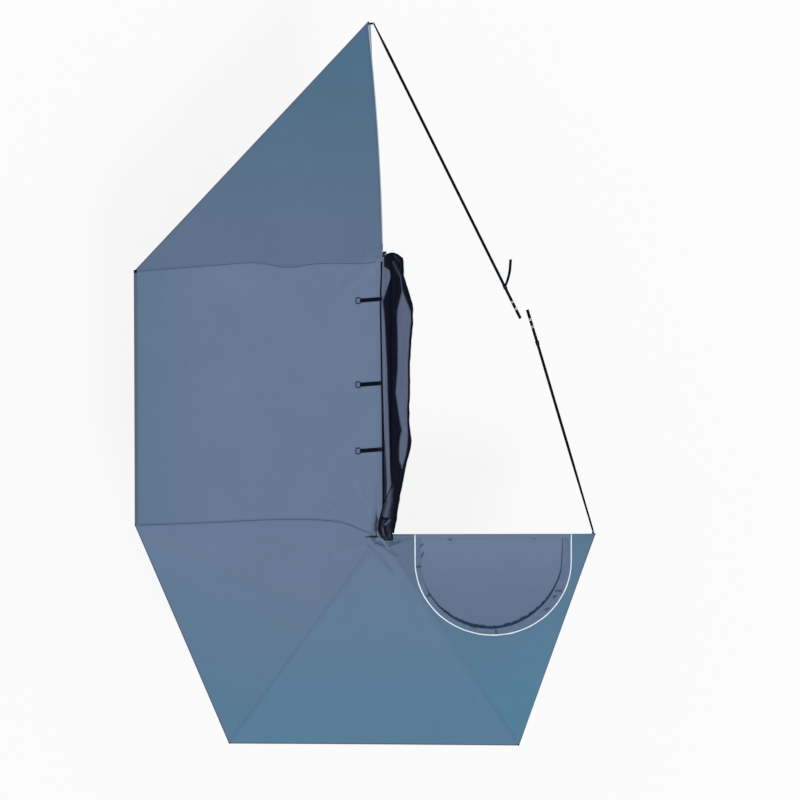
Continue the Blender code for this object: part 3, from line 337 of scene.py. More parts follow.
@once
def grained(name, base, roughness, scale, depth, wear=None):
    """A fine-grained finish. With a worn edge's colour it's a coating or nylon, else a metal."""
    kind = {"Specular IOR Level": 0.12} if wear else {"Metallic": 1.0}
    made, tree, shader, place = new_material(name, base, roughness, kind)
    grain(tree, shader, place, scale, 0.3, depth)
    smears(tree, shader, place, 22.0, 4.0, 0.25, roughness - 0.12)
    if wear:
        edge = node(tree, "ShaderNodeNewGeometry", out="Pointiness")
        ramp = node(tree, "ShaderNodeMapRange", {0: edge, 1: 0.53, 2: 0.62})
        mix = node(tree, "ShaderNodeMix", {0: ramp, 6: linear(base), 7: linear(wear)}, 2,
                   data_type="RGBA")
        tree.links.new(mix, shader["Base Color"])
    return made


def black_webbing():
    return webbing("black_polyester_webbing", hues().webbing)


def sewing_thread():
    return canvas("polyester_thread", hues().thread)


def hem_cloth():
    return canvas("polycotton_canvas_hem", hues().hem)


def zinc_steel():
    # Bright zinc on steel: smooth, slightly cloudy
    return grained("zinc_plated_steel", hues().zinc, 0.3, 300.0, 0.0002)


def black_nylon():
    # Moulded glass-filled nylon: matt, with a fine spark-eroded grain
    return grained("moulded_nylon", hues().nylon, 0.55, 700.0, 0.0003, "#1a1c21")


def powder_coat():
    # Powder coat on steel: orange-peel texture, worn a little at the edges
    return grained("powder_coated_steel", hues().coat, 0.42, 420.0, 0.0005, "#1d1f24")


# Lines and points

def ease(t):
    """A smooth step from 0 to 1."""
    t = np.clip(t, 0, 1)
    return t * t * (3 - 2 * t)


def between(a, b, t):
    """From a to b by a share."""
    return a * (1 - t) + b * t


def unit(v):
    return v / np.linalg.norm(v, axis=-1, keepdims=True)


def raised(plan, height):
    """Plan points with their heights."""
    return np.concatenate((plan, np.asarray(height)[..., None]), axis=-1)


def read_off(table, places):
    """Every other column of a table, read off at places in its first one."""
    first, *rest = np.array(table).T
    return [np.interp(places, first, column) for column in rest]


def travel(line):
    """Distance along a line of points, from its start."""
    return np.concatenate(([0], np.cumsum(np.linalg.norm(np.diff(line, axis=0), axis=1))))


def across(line):
    """Level directions square to a line, to its left."""
    run = np.gradient(line, axis=0)
    return unit(np.stack((-run[:, 1], run[:, 0], np.zeros(len(run))), axis=1))


def inward(line, towards):
    """Level directions square to a line, on the side of a point."""
    side, middle = across(line), len(line) // 2
    return -side if side[middle] @ (np.array(towards) - line[middle]) < 0 else side


def smooth_line(points, step):
    """A smooth curve through points, read off at about even steps."""
    points = [np.array(p, float) for p in points]
    ends = [2 * points[0] - points[1]] + points + [2 * points[-1] - points[-2]]
    dense = []
    for a, b, c, d in zip(ends, ends[1:], ends[2:], ends[3:]):
        for t in np.linspace(0, 1, 24, endpoint=False):
            dense.append(0.5 * (2 * b + (c - a) * t + (2 * a - 5 * b + 4 * c - d) * t * t
                                + (3 * b - a - 3 * c + d) * t ** 3))
    dense = np.array(dense + [points[-1]])
    distance = travel(dense)
    want = np.linspace(0, distance[-1], max(int(distance[-1] / step), 2) + 1)
    return np.stack([np.interp(want, distance, column) for column in dense.T], axis=1)


# Mesh tools

def add_object(name, data, material=None):
    made = bpy.data.objects.new(name, data)
    bpy.context.scene.collection.objects.link(made)
    if material:
        data.materials.append(material)
    return made


def mesh_object(name, points, faces, material=None, edges=()):
    mesh = bpy.data.meshes.new(name)
    mesh.from_pydata([tuple(map(float, p)) for p in points], edges, faces)
    mesh.update()
    mesh.shade_smooth()
    return add_object(name, mesh, material)


def paint(obj, **layers):
    """Point values that the materials read; a sheet's underside takes those of its top."""
    for name, values in layers.items():
        flat = np.resize(np.asarray(values, np.float32).reshape(-1), len(obj.data.vertices))
        layer = obj.data.attributes.get(name) or obj.data.attributes.new(name, "FLOAT", "POINT")
        layer.data.foreach_set("value", flat)
    return obj


def tidy(obj, angle):
    """Faces outward, and edges sharper than an angle left sharp."""
    bm = bmesh.new()
    bm.from_mesh(obj.data)
    bmesh.ops.recalc_face_normals(bm, faces=bm.faces)
    bm.to_mesh(obj.data)
    bm.free()
    obj.data.set_sharp_from_angle(angle=math.radians(angle))
    return obj


def settle(obj):
    """Turns an object and its modifiers into a plain mesh."""
    bpy.context.view_layer.update()
    graph = bpy.context.evaluated_depsgraph_get()
    obj.data = bpy.data.meshes.new_from_object(obj.evaluated_get(graph))
    obj.modifiers.clear()
    return obj


def join(name, objects):
    """One object from several, keeping their materials and attributes."""
    with bpy.context.temp_override(active_object=objects[0], selected_editable_objects=objects):
        bpy.ops.object.join()
    objects[0].name = objects[0].data.name = name
    return objects[0]


def grid_faces(rows, columns, offset, flip):
    starts = [offset + j * columns + i for j in range(rows - 1) for i in range(columns - 1)]
    quads = [(a, a + 1, a + columns + 1, a + columns) for a in starts]
    return [quad[::-1] for quad in quads] if flip else quads


def sheet_object(name, top, thickness, material, shade=0.0):
    """A closed sheet from a grid of points on its top, thickened downwards."""
    rows, columns = top.shape[:2]
    flat, count = top.reshape(-1, 3), rows * columns
    turn = sum(np.cross(top[j, 1] - top[j, 0], top[j + 1, 0] - top[j, 0]) for j in (0, rows // 2))
    flip = turn[2] < 0
    faces = grid_faces(rows, columns, 0, flip) + grid_faces(rows, columns, count, not flip)
    rim = list(range(columns)) + [j * columns + columns - 1 for j in range(1, rows)]
    rim += [(rows - 1) * columns + i for i in range(columns - 2, -1, -1)]
    rim += [j * columns for j in range(rows - 2, 0, -1)]
    for a, b in zip(rim, rim[1:] + rim[:1]):
        quad = (b, a, a + count, b + count)
        faces.append(quad[::-1] if flip else quad)
    made = mesh_object(name, np.vstack((flat, flat - (0, 0, thickness))), faces, material)
    made.data.set_sharp_from_angle(angle=math.radians(50))
    return paint(made, shade=shade)


def ring_sheet(name, top, thickness, material):
    """A closed sheet round an opening, from loops of points on its top."""
    rows, columns = top.shape[:2]
    flat, count, last = top.reshape(-1, 3), rows * columns, (rows - 1) * columns
    faces = []
    for i in range(columns):
        n = (i + 1) % columns
        for j in range(0, last, columns):
            a, b, c, d = j + i, j + columns + i, j + columns + n, j + n
            faces += [(a, b, c, d), (d + count, c + count, b + count, a + count)]
        faces.append((i, n, n + count, i + count))
        faces.append((i + last + count, n + last + count, n + last, i + last))
    points = np.vstack((flat, flat - (0, 0, thickness)))
    return tidy(mesh_object(name, points, faces, material), 50)


def ribbon(name, one, two, thickness, material, steps=4, shade=0.0):
    """A flat sheet between two lines of points."""
    share = np.linspace(0, 1, steps + 1)[:, None, None]
    return sheet_object(name, between(one[None], two[None], share), thickness, material, shade)


def band_object(name, line, side, width, thickness, material, rise=(0, 0, 1)):
    """A flat band along a line of points, centred on it, with UV in metres."""
    line = np.array(line, float)
    side = unit(np.broadcast_to(np.array(side, float), line.shape))
    up = unit(np.cross(unit(np.gradient(line, axis=0)), side))
    if (up @ np.array(rise)).mean() < 0:
        up = -up
    half, thick = width / 2, thickness / 2
    edge = thick * 0.6
    ring = ((-half, -thick + edge), (-half + edge, -thick), (half - edge, -thick),
            (half, -thick + edge), (half, thick - edge), (half - edge, thick),
            (-half + edge, thick), (-half, thick - edge))
    points = [p + s * a + u * b for p, s, u in zip(line, side, up) for a, b in ring]
    n, last = len(ring), (len(line) - 1) * len(ring)
    faces = [(j + k, j + (k + 1) % n, j + n + (k + 1) % n, j + n + k)
             for j in range(0, last, n) for k in range(n)]
    faces += [tuple(range(n))[::-1], tuple(range(last, last + n))]
    made = mesh_object(name, points, faces, material)
    distance = travel(line)
    layer = made.data.uv_layers.new(name="cloth")
    for loop in made.data.loops:
        j, k = divmod(loop.vertex_index, n)
        layer.data[loop.index].uv = (ring[k][0], distance[j])
    return tidy(made, 40)


def loop_of_bar(name, long, wide, radius, material):
    """A round bar bent into a flat loop with round corners, about the origin."""
    bend, sides = 0.008, 10
    line = np.array([(cx * (long / 2 - bend) + bend * math.cos(a),
                      cy * (wide / 2 - bend) + bend * math.sin(a), 0.0)
                     for cx, cy, start in ((1, 1, 0), (-1, 1, 90), (-1, -1, 180), (1, -1, 270))
                     for a in np.radians(np.linspace(start, start + 90, 6))])
    run = np.roll(line, -1, axis=0) - np.roll(line, 1, axis=0)
    out = unit(np.stack((run[:, 1], -run[:, 0], run[:, 2]), axis=1))
    points = [p + o * radius * math.cos(a) + (0, 0, radius * math.sin(a))
              for p, o in zip(line, out)
              for a in np.linspace(0, 2 * math.pi, sides, endpoint=False)]
    count = len(points)
    faces = [(j + k, j + (k + 1) % sides, (j + sides) % count + (k + 1) % sides,
              (j + sides) % count + k) for j in range(0, count, sides) for k in range(sides)]
    return tidy(mesh_object(name, points, faces, material), 60)


def block_object(name, blocks, material, bevel, segments, pins=()):
    """Bevelled blocks as one piece: low and high X, Y and Z of each, and pins across them."""
    bm = bmesh.new()
    for block in blocks:
        low, high = np.array(block[::2]), np.array(block[1::2])
        for v in bmesh.ops.create_cube(bm, size=1.0)["verts"]:
            v.co = Vector(low + (high - low) * (np.array(v.co) + 0.5))
    for place, radius, depth in pins:
        pin = bmesh.ops.create_cone(bm, segments=16, radius1=radius, radius2=radius, depth=depth,
                                    cap_ends=True)
        turn = Matrix.Translation(place) @ Matrix.Rotation(math.pi / 2, 4, "X")
        bmesh.ops.transform(bm, matrix=turn, verts=pin["verts"])
    mesh = bpy.data.meshes.new(name)
    bm.to_mesh(mesh)
    bm.free()
    made = add_object(name, mesh, material)
    step = made.modifiers.new("edges", "BEVEL")
    step.width = bevel
    step.segments = segments
    settle(made).data.shade_smooth()
    made.data.set_sharp_from_angle(angle=math.radians(40))
    return made


def row_tree():
    """Geometry Nodes: small blocks in a row along every line of the object."""
    tree = bpy.data.node_groups.get("row_of_blocks")
    if tree:
        return tree
    tree = bpy.data.node_groups.new("row_of_blocks", "GeometryNodeTree")
    kinds = {"Lines": "Geometry", "Pitch": "Float", "Length": "Float", "Width": "Float",
             "Height": "Float", "Material": "Material"}
    for label, kind in kinds.items():
        tree.interface.new_socket(label, in_out="INPUT", socket_type=f"NodeSocket{kind}")
    tree.interface.new_socket("Geometry", in_out="OUTPUT", socket_type="NodeSocketGeometry")
    source = node(tree, "NodeGroupInput").node.outputs
    curve = node(tree, "GeometryNodeMeshToCurve", {0: source["Lines"]})
    even = node(tree, "GeometryNodeResampleCurve", {"Curve": curve, "Length": source["Pitch"]},
                mode="LENGTH")
    size = node(tree, "ShaderNodeCombineXYZ",
                {0: source["Length"], 1: source["Width"], 2: source["Height"]})
    block = node(tree, "GeometryNodeMeshCube", {"Size": size})
    turn = node(tree, "FunctionNodeAlignRotationToVector",
                {"Vector": node(tree, "GeometryNodeInputTangent")}, axis="X")
    rows = node(tree, "GeometryNodeInstanceOnPoints",
                {"Points": even, "Instance": block, "Rotation": turn})
    real = node(tree, "GeometryNodeRealizeInstances", {0: rows})
    dressed = node(tree, "GeometryNodeSetMaterial",
                   {"Geometry": real, "Material": source["Material"]})
    node(tree, "NodeGroupOutput", {0: dressed})
    return tree


def block_row(name, lines, pitch, size, material):
    """Stitches or zip teeth along lines, as one plain mesh."""
    points, edges = [], []
    for line in lines:
        edges += [(k, k + 1) for k in range(len(points), len(points) + len(line) - 1)]
        points += list(line)
    made = mesh_object(name, points, [], edges=edges)
    tree = row_tree()
    step = made.modifiers.new("row", "NODES")
    step.node_group = tree
    wanted = dict(zip(("Pitch", "Length", "Width", "Height", "Material"),
                      (pitch, *size, material)))
    for item in tree.interface.items_tree:
        if item.in_out == "INPUT" and item.name in wanted:
            step[item.identifier] = wanted[item.name]
    return settle(made)


# The canopy's shape

def crease(points, line, depth, width):
    """Height of a soft fold along a line, strongest in its middle."""
    total = np.zeros(points.shape[:-1])
    line = [np.array(p, float) for p in line]
    for a, b in zip(line, line[1:]):
        d = b - a
        t = np.clip(((points - a) @ d) / (d @ d), 0, 1)
        gap = np.linalg.norm(points - (a + t[..., None] * d), axis=-1)
        total = np.maximum(total, np.exp(-(gap / width) ** 2))
    return depth * total


def creases(points, folds):
    """The sum of soft folds, each given by its line, height and width."""
    return sum(crease(points, *fold) for fold in folds)


def ripple(points, scale, seed):
    """Smooth noise from -1 to 1 over a grid of plan points."""
    out = np.empty(points.shape[:-1])
    for index in np.ndindex(out.shape):
        x, y = points[index]
        out[index] = noise.noise(Vector((x * scale, y * scale, seed)))
    return out


# Seams that wander off their arm: share of the arm's length, and how far to its left
SEAM_DRIFT = {
    "rear_side": ((0, 0), (0.063, -0.037), (0.167, -0.108), (0.327, -0.117), (0.515, -0.090),
                  (0.670, -0.058), (1, 0)),
    "front_side": ((0, 0), (0.030, 0.028), (0.083, 0.032), (0.250, 0.015), (0.377, 0.032),
                   (0.511, -0.021), (0.666, -0.018), (1, 0)),
}
# The two arms of each panel, and how far from their pins its cloth starts. A panel rides on
# its second arm, and the side panel on the rail
WEDGES = {"front_panel": ("front_side", "apex", 0.075),
          "rear_left_panel": ("rear_side", "rear_left", 0.010),
          "rear_panel": ("rear_left", "rear_right", 0.010),
          "rear_right_panel": ("rear_right", "rear_edge", 0.03),
          "side_panel": ("rear_side", "front_side", 0.035)}
# Direction in which each cloth's painted-light colour drifts, and where that starts and ends
HUE_RUN = {"front": (0, 1, 1.25, 2.9), "side": (-1, 0, 1.65, 2.25),
           "rear_left": (-0.35, -0.94, 1.85, 3.0), "rear": (0, -1, 1.40, 2.75),
           "rear_right": (0.5, -0.85, 1.3, 2.9), "flap": (0, -1, 1.35, 1.95)}
# Raised folds in each panel: line, height, width
FOLDS = {
    "rear_panel": [([(-0.141, -1.320), (-0.0444, -1.3728), (0.0436, -1.43)], 0.009, 0.016),
                   ([(-0.120, -1.36), (0.167, -1.751), (0.44, -2.262), (0.836, -2.719),
                     (1.064, -3.018)], 0.006, 0.05),
                   ([(-0.203, -1.329), (-0.097, -1.4344), (0.0084, -1.566)], 0.007, 0.02)],
    "rear_right_panel": [([(-0.0444, -1.3728), (0.0436, -1.43), (0.12, -1.47)], 0.008, 0.018),
                         ([(-0.03, -1.30), (0.15, -1.34)], 0.006, 0.014),
                         ([(0.167, -1.751), (0.44, -2.262), (0.836, -2.719)], 0.004, 0.08)],
    "rear_left_panel": [([(-0.16, -1.30), (-0.50, -1.42)], 0.005, 0.03),
                        ([(-0.15, -1.33), (-0.34, -1.62)], 0.004, 0.025)],
    "front_panel": [([(-0.14, 1.33), (-0.30, 1.62)], 0.004, 0.03)],
    "side_panel": [([(-0.15, -1.20), (-0.55, -1.00)], 0.006, 0.03),
                   ([(-0.14, -1.12), (-0.32, -0.80)], 0.005, 0.025),
                   ([(-0.17, 1.08), (-0.40, 0.90)], 0.003, 0.03)],
}
# Where the cloth lies in shadow or catches the light, near the rail: line, tone, width
TONES = (
    ([(-0.092, -0.80), (-0.092, 1.02)], -0.20, 0.022),
    ([(-0.085, -0.80), (-0.092, -0.986), (-0.118, -1.091), (-0.140, -1.20)], -0.30, 0.038),
    ([(-0.100, -1.02), (-0.120, -1.09), (-0.132, -1.15), (-0.130, -1.21), (-0.115, -1.25)],
     -0.60, 0.015),
    ([(-0.2204, -1.2654), (-0.1764, -1.2602), (-0.1324, -1.2600)], -0.80, 0.0075),
    ([(-0.170, -1.2620), (-0.125, -1.2560)], -0.88, 0.012),
    ([(-0.1676, -1.285), (-0.115, -1.320), (-0.053, -1.342), (0.0084, -1.333),
      (0.0788, -1.307)], -0.60, 0.0075),
    ([(-0.150, -1.2716), (-0.097, -1.3068), (-0.0444, -1.320), (0.026, -1.311)], -0.70, 0.006),
    ([(-0.141, -1.278), (-0.080, -1.313), (-0.0092, -1.3268)], 0.45, 0.003),
    ([(-0.122, -1.160), (-0.110, -1.195), (-0.118, -1.235)], 0.50, 0.004),
    ([(-0.203, -1.329), (-0.097, -1.4344), (0.0084, -1.566)], -0.20, 0.014),
    ([(-0.141, -1.320), (-0.0444, -1.3728), (0.0436, -1.430)], -0.26, 0.014),
    ([(0.05, -1.29), (0.18, -1.275)], -0.20, 0.02),
)


def drift(arm, points):
    """Sideways step from plan points along an arm to the seam over it."""
    share = np.linalg.norm(points - pivot(arm), axis=-1) / REACH[arm]
    off = read_off(smooth_line(SEAM_DRIFT[arm], 0.01), share)[0]
    return off[..., None] * np.array((-way(arm)[1], way(arm)[0]))


def arm_plane(points, one, two):
    """Height of the plane that two arms of one hinge carry, over plan points."""
    a, b, c = (np.array(p) for p in ((*pivot(one), CLOTH_TOP), (*tip(one), arm_top(one)),
                                     (*tip(two), arm_top(two))))
    n = np.cross(b - a, c - a)
    return a[2] - ((points[..., 0] - a[0]) * n[0] + (points[..., 1] - a[1]) * n[1]) / n[2]


def cloth_height(name, points, share, along):
    """How a panel's cloth stands off the plane of its arms."""
    sag = -sizes().sag * 4 * share * (1 - share) * np.clip(along, 0, 1) ** 0.8
    sway = 0.0022 * ripple(points, 2.2, 3.1) * np.clip(along * 4, 0, 1)
    return sag + sway + creases(points, FOLDS[name])


def slope_shade(top):
    """A touch of light and dark where the cloth turns, from its own curvature."""
    gy, gx = np.gradient(top[..., 2])
    return np.clip(-(np.gradient(gx, axis=1) + np.gradient(gy, axis=0)) * 14, -0.12, 0.10)


def cloth_tone(top):
    """Light and dark of a panel: its own curvature, and the shadows near the rear hinge."""
    return np.maximum(slope_shade(top) + creases(top[..., :2], TONES), -0.93)


def side_share(points):
    """Where plan points lie between the side arms: 0 at the rear one, 1 at the front one."""
    rear, front = (pivot(arm)[1] + (points[..., 0] - pivot(arm)[0]) * way(arm)[1] / way(arm)[0]
                   for arm in ("rear_side", "front_side"))
    return (points[..., 1] - rear) / (front - rear)


def side_height(points):
    """The side panel's plane: level at the rail and falling to the two arm tips."""
    rear, front = corner("rear_side")[1], tip("front_side")[1] - 0.084
    t = np.clip((points[..., 1] - rear) / (front - rear), 0, 1)
    u = np.clip((points[..., 0] - GROOVE_X) / (corner("rear_side")[0] - GROOVE_X), 0, 1)
    return between(CLOTH_TOP, between(arm_top("rear_side"), arm_top("front_side"), t), u)


def side_top(points):
    """The side panel's cloth, with its sag and folds."""
    out = np.clip((points[..., 0] - BAND_EDGE) / (corner("rear_side")[0] - BAND_EDGE), 0, 1)
    share = np.clip(side_share(points), 0, 1)
    return side_height(points) + cloth_height("side_panel", points, share, out * 0.9)


def wedge_grid(name, rows=84, columns=60):
    """Top points of a panel between two arms of one hinge, closer together at the hinge."""
    one, two, start = WEDGES[name]
    s = np.linspace(0, 1, rows)[:, None, None] ** 1.6
    t = np.linspace(0, 1, columns)[None, :, None]
    inner = pivot(one) + start * unit(between(way(one), way(two), t))
    plan = between(inner, between(corner(one), corner(two), t), s)
    if one in SEAM_DRIFT:
        plan = plan + drift(one, plan[:, :1]) * (1 - t) ** 5
    if name == "front_panel":
        # The free edge bows out past its arm, and stands off it at the hinge
        plan = plan + 0.024 * 4 * s * (1 - s) * t ** 6 * np.array((1.0, 0.03))
        plan = plan + (t ** 10) * (1 - s) * np.array((0.028, 0.0))
    share, along = (np.broadcast_to(k[..., 0], plan.shape[:2]) for k in (t, s))
    lift = cloth_height(name, plan, share, along)
    guard = np.clip(np.minimum(share, 1 - share) * 14, 0, 1) * 0.7 + 0.3
    z = arm_plane(plan, one, two) + lift * np.where(lift > 0, guard, 1.0)
    # Where the drifting seam takes it past the side arm, it lies as the side panel does
    beside = side_share(plan)
    beyond = (beside > 0) & (beside < 1) & (plan[..., 0] < BAND_EDGE)
    return raised(plan, np.where(beyond, side_top(plan), z))


def side_grid(rows=110, columns=72):
    """Top points of the side panel, from the band along the rail to the outer edge."""
    t = np.linspace(0, 1, rows)[:, None, None] ** 1.5
    u = np.linspace(0, 1, columns)[None, :, None] ** 1.4
    rear, front, start = WEDGES["side_panel"]
    first, last = (pivot(arm) + way(arm) * start for arm in (rear, front))
    inner_y = between(first[1], last[1], t)
    inner = np.concatenate((np.full_like(inner_y, BAND_EDGE), inner_y), axis=-1)
    inner[0, 0], inner[-1, 0] = first, last
    plan = between(inner, between(corner(rear), corner(front), t), u)
    plan = plan + drift(rear, plan[:1]) * (1 - t) ** 5 + drift(front, plan[-1:]) * t ** 5
    return raised(plan, side_top(plan))


def panel_grid(name):
    return side_grid() if name == "side_panel" else wedge_grid(name)


def grid_area(top):
    """Area of a grid of points."""
    a, b = top[1:, :-1] - top[:-1, :-1], top[:-1, 1:] - top[:-1, :-1]
    c, d = top[1:, :-1] - top[1:, 1:], top[:-1, 1:] - top[1:, 1:]
    one, two = (np.linalg.norm(np.cross(p, q), axis=-1).sum() for p, q in ((a, b), (c, d)))
    return float(one + two) / 2


# Where each panel's cloth would lie in the folded pack; nothing uses the spot
SLOT = {"side_panel": -0.1135, "front_panel": -0.128, "rear_left_panel": -0.141,
        "rear_panel": -0.154, "rear_right_panel": -0.167}
FLAP_DEPTH = 0.013      # the flap's pieces lie this much further in


def fold_with(piece, panel, body=None, depth=0.0):
    """Rides a cloth piece on its arm, or on the rail for the side panel."""
    axis, spot, carrier = (1, 0), (SLOT[panel], 0), "rail"
    if panel != "side_panel":
        other, arm, _ = WEDGES[panel]
        centre, d = pivot(arm), way(arm)
        axis = np.array((-d[1], d[0]))
        if axis @ (corner(other) - centre) < 0:
            axis = -axis
        spot, carrier = centre - axis * (centre[0] - SLOT[panel] + depth), f"{arm}_arm"
    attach(piece, body or carrier)
    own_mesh(piece)


def flap_line(margin, count=90):
    """The flap's outline in plan at a margin inside its opening, from right to left."""
    low, high = pivot("rear_edge")[0] + 0.302, tip("rear_edge")[0] - 0.197
    middle, wide = (low + high) / 2, (high - low) / 2 - margin
    edge = JOINTS["tailgate_flap_swing"]["pos_m"][1] + 0.0003
    # The sides run straight for 205 mm, and the round end takes 655 mm more
    shoulder, deep = edge - 0.205, 0.655 - margin
    round_end = [(middle + wide * math.cos(a), shoulder - deep * math.sin(a))
                 for a in np.linspace(0, math.pi, count)]
    sides = 8
    right = [(middle + wide, edge + (shoulder - edge) * i / sides) for i in range(sides)]
    left = [(middle - wide, shoulder + (edge - shoulder) * i / sides) for i in range(1, sides + 1)]
    return np.array(right + round_end + left)


def on_panel(plan, rise=0.0):
    """Plan points laid on the rear right panel, without its folds."""
    return raised(plan, arm_plane(plan, "rear_right", "rear_edge") + rise)


def canopy_material(hue):
    return canvas(f"polycotton_canvas_{hue}", getattr(hues(), hue), getattr(hues(), f"{hue}_far"),
                  HUE_RUN[hue])


class AWNING_OT_canopy(bpy.types.Operator):
    """The canopy's panels, as sheets drawn tight over the arms"""
    bl_idname = "awning.canopy"
    bl_label = "Canopy panels"

    def execute(self, context):
        for panel in WEDGES:
            look = canopy_material(panel.removesuffix("_panel"))
            if panel == "rear_right_panel":
                top = self.flap_surround()
                made = ring_sheet(f"{panel}_cloth", top, CLOTH, look)
                paint(made, shade=cloth_tone(top))
            else:
                top = panel_grid(panel)
                made = sheet_object(f"{panel}_cloth", top, CLOTH, look, cloth_tone(top))
            self.lay(made, panel, grid_area(top))
        self.rail_band()
        self.hinge_patch()
        return {"FINISHED"}

    @staticmethod
    def lay(made, panel, area):
        """Hangs a panel on its arms. Before it was sewn it was a cut about twice its area; the area
        is not used.
        """
        fold_with(made, panel)
        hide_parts(panel)

    def flap_surround(self):
        """Top points of the rear right panel, round the opening for its flap."""
        one, two, _ = WEDGES["rear_right_panel"]
        centre, a, b = pivot(two), corner(one), corner(two)
        start = centre + way(two) * 0.012 + np.array((0.0, 0.007))
        near = centre + way(one) * 0.010
        sides = ((start, b, 34), (b, a, 60), (a, near, 60), (near, start, 4))
        border = np.array([between(p, q, t) for p, q, count in sides
                           for t in np.arange(count) / count])
        hole = flap_line(0.0)
        ring = np.vstack((hole, np.linspace(hole[-1], hole[0], 40)[1:-1]))
        middle = ring.mean(axis=0)
        # Closer together where the rays meet the hinge
        angles = np.sort(np.concatenate((np.linspace(-math.pi, math.pi, 240, endpoint=False),
                                         np.linspace(2.66, 2.97, 120))))
        outer, inner = (self.at_angles(line, middle, angles) for line in (border, ring))
        steps = 26
        plan = np.array([between(inner, outer, k / steps) for k in range(steps + 1)])
        # Where each point lies between the two arms, and how far out
        d = plan - pivot(one)
        radius = np.linalg.norm(d, axis=-1)
        turn = np.arccos(np.clip((d @ way(one)) / np.maximum(radius, 1e-9), -1, 1))
        share = np.clip(turn / math.acos(float(way(one) @ way(two))), 0, 1)
        lift = cloth_height("rear_right_panel", plan, share, np.clip(radius / 1.9, 0, 1))
        return on_panel(plan, lift * np.linspace(0.25, 1, steps + 1)[:, None])

    @staticmethod
    def at_angles(line, middle, angles):
        """Where rays from the middle meet a closed line."""
        reach = []
        closed = np.vstack((line, line[:1])) - middle
        p, e = closed[:-1], np.diff(closed, axis=0)
        rays = np.stack((np.cos(angles), np.sin(angles)), axis=1)
        for d in rays:
            det = d[1] * e[:, 0] - d[0] * e[:, 1]
            det = np.where(np.abs(det) < 1e-12, 1e-12, det)
            s = (p[:, 1] * e[:, 0] - p[:, 0] * e[:, 1]) / det
            u = (d[0] * p[:, 1] - d[1] * p[:, 0]) / det
            reach.append(s[(s > 0) & (u >= -1e-9) & (u <= 1 + 1e-9)].max())
        return middle + np.array(reach)[:, None] * rays

    # Place along the rail, and the tape's two edges
    TAPE = ((-1.10, -0.080, -0.054), (-0.90, -0.0755, -0.0530), (-0.766, -0.077, -0.0530),
            (-0.458, -0.0796, -0.055), (-0.326, -0.0814, -0.0603), (-0.15, -0.0832, -0.0656),
            (0.026, -0.0867, -0.0705), (0.202, -0.0895, -0.0752), (0.378, -0.092, -0.078),
            (0.554, -0.0955, -0.0815), (0.73, -0.099, -0.0845), (0.906, -0.097, -0.0825),
            (1.038, -0.0905, -0.0780), (1.153, -0.091, -0.0745))

    def rail_band(self):
        """The cloth along the rail's groove, the beaded edge in it and the tape sewn over both."""
        x, y = np.meshgrid(np.linspace(BAND_EDGE - 0.010, -0.0740, 10),
                           np.linspace(-1.255, 1.10, 90))
        top = self.over_rail(x, y, 0.0013)
        top[..., 2] += 0.0005 * ripple(top[..., :2], 18, 5.0)
        # Painted shade: the band darkens towards the rail, which shades it
        dark = -0.03 - 0.11 * ease((x - BAND_EDGE) / 0.020)
        made = sheet_object("rail_edge_band", top, LINING, canopy_material("side"), dark)
        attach(made, "rail")
        y = np.linspace(-1.12, 1.176, 120)
        bead = band_object("canopy_edge_bead", self.over_rail(-0.0688, y, 0.0010), (1, 0, 0),
                           0.0125, CLOTH, hem_cloth())
        y = np.linspace(-1.10, 1.153, 160)
        left, right = (self.over_rail(x, y, 0.0032) for x in read_off(self.TAPE, y))
        tape = ribbon("canopy_edge_tape", left, right, LINING, black_webbing(), 5)
        for made in (bead, tape):
            paint(made, shade=0.15)
            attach(made, "rail")

    @staticmethod
    def over_rail(x, y, rise):
        """Points on the side panel's height by the rail, lifted over the front bracket."""
        plan = np.stack(np.broadcast_arrays(x, y), axis=-1)
        return raised(plan, side_height(plan) + rise + 0.0032 * ease((plan[..., 1] - 1.03) / 0.06))

    def hinge_patch(self):
        """The canopy's doubled corner, which lies over the front hinge."""
        centre = pivot("front_side")
        v, u = np.linspace(0, 1, 70)[:, None], np.linspace(0, 1, 50)[None, :]
        left = -0.240 + 0.04 * (2 * v - 1) ** 4
        plan = np.stack((left + (-0.0742 - left) * u, 1.085 + 0.180 * v + 0 * u), axis=-1)
        gap = np.linalg.norm(plan - centre, axis=-1)
        # Higher towards the rail, raised over the pin's head, and a little uneven round it
        z = 0.0648 + 0.0026 * ease((plan[..., 0] + 0.160) / 0.040)
        z = z + 0.0068 * (1 - ease((gap - 0.013) / 0.020))
        z = z + 0.0008 * ripple(plan, 30, 2.0) * ease((gap - 0.012) / 0.02)
        top = raised(plan, z)
        look = canvas("polycotton_canvas_corner", hues().side, hues().front, (0, 1, 1.12, 1.2))
        made = sheet_object("front_corner_patch", top, 0.0010, look, slope_shade(top) * 0.6)
        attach(made, "rail")
        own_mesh(made)


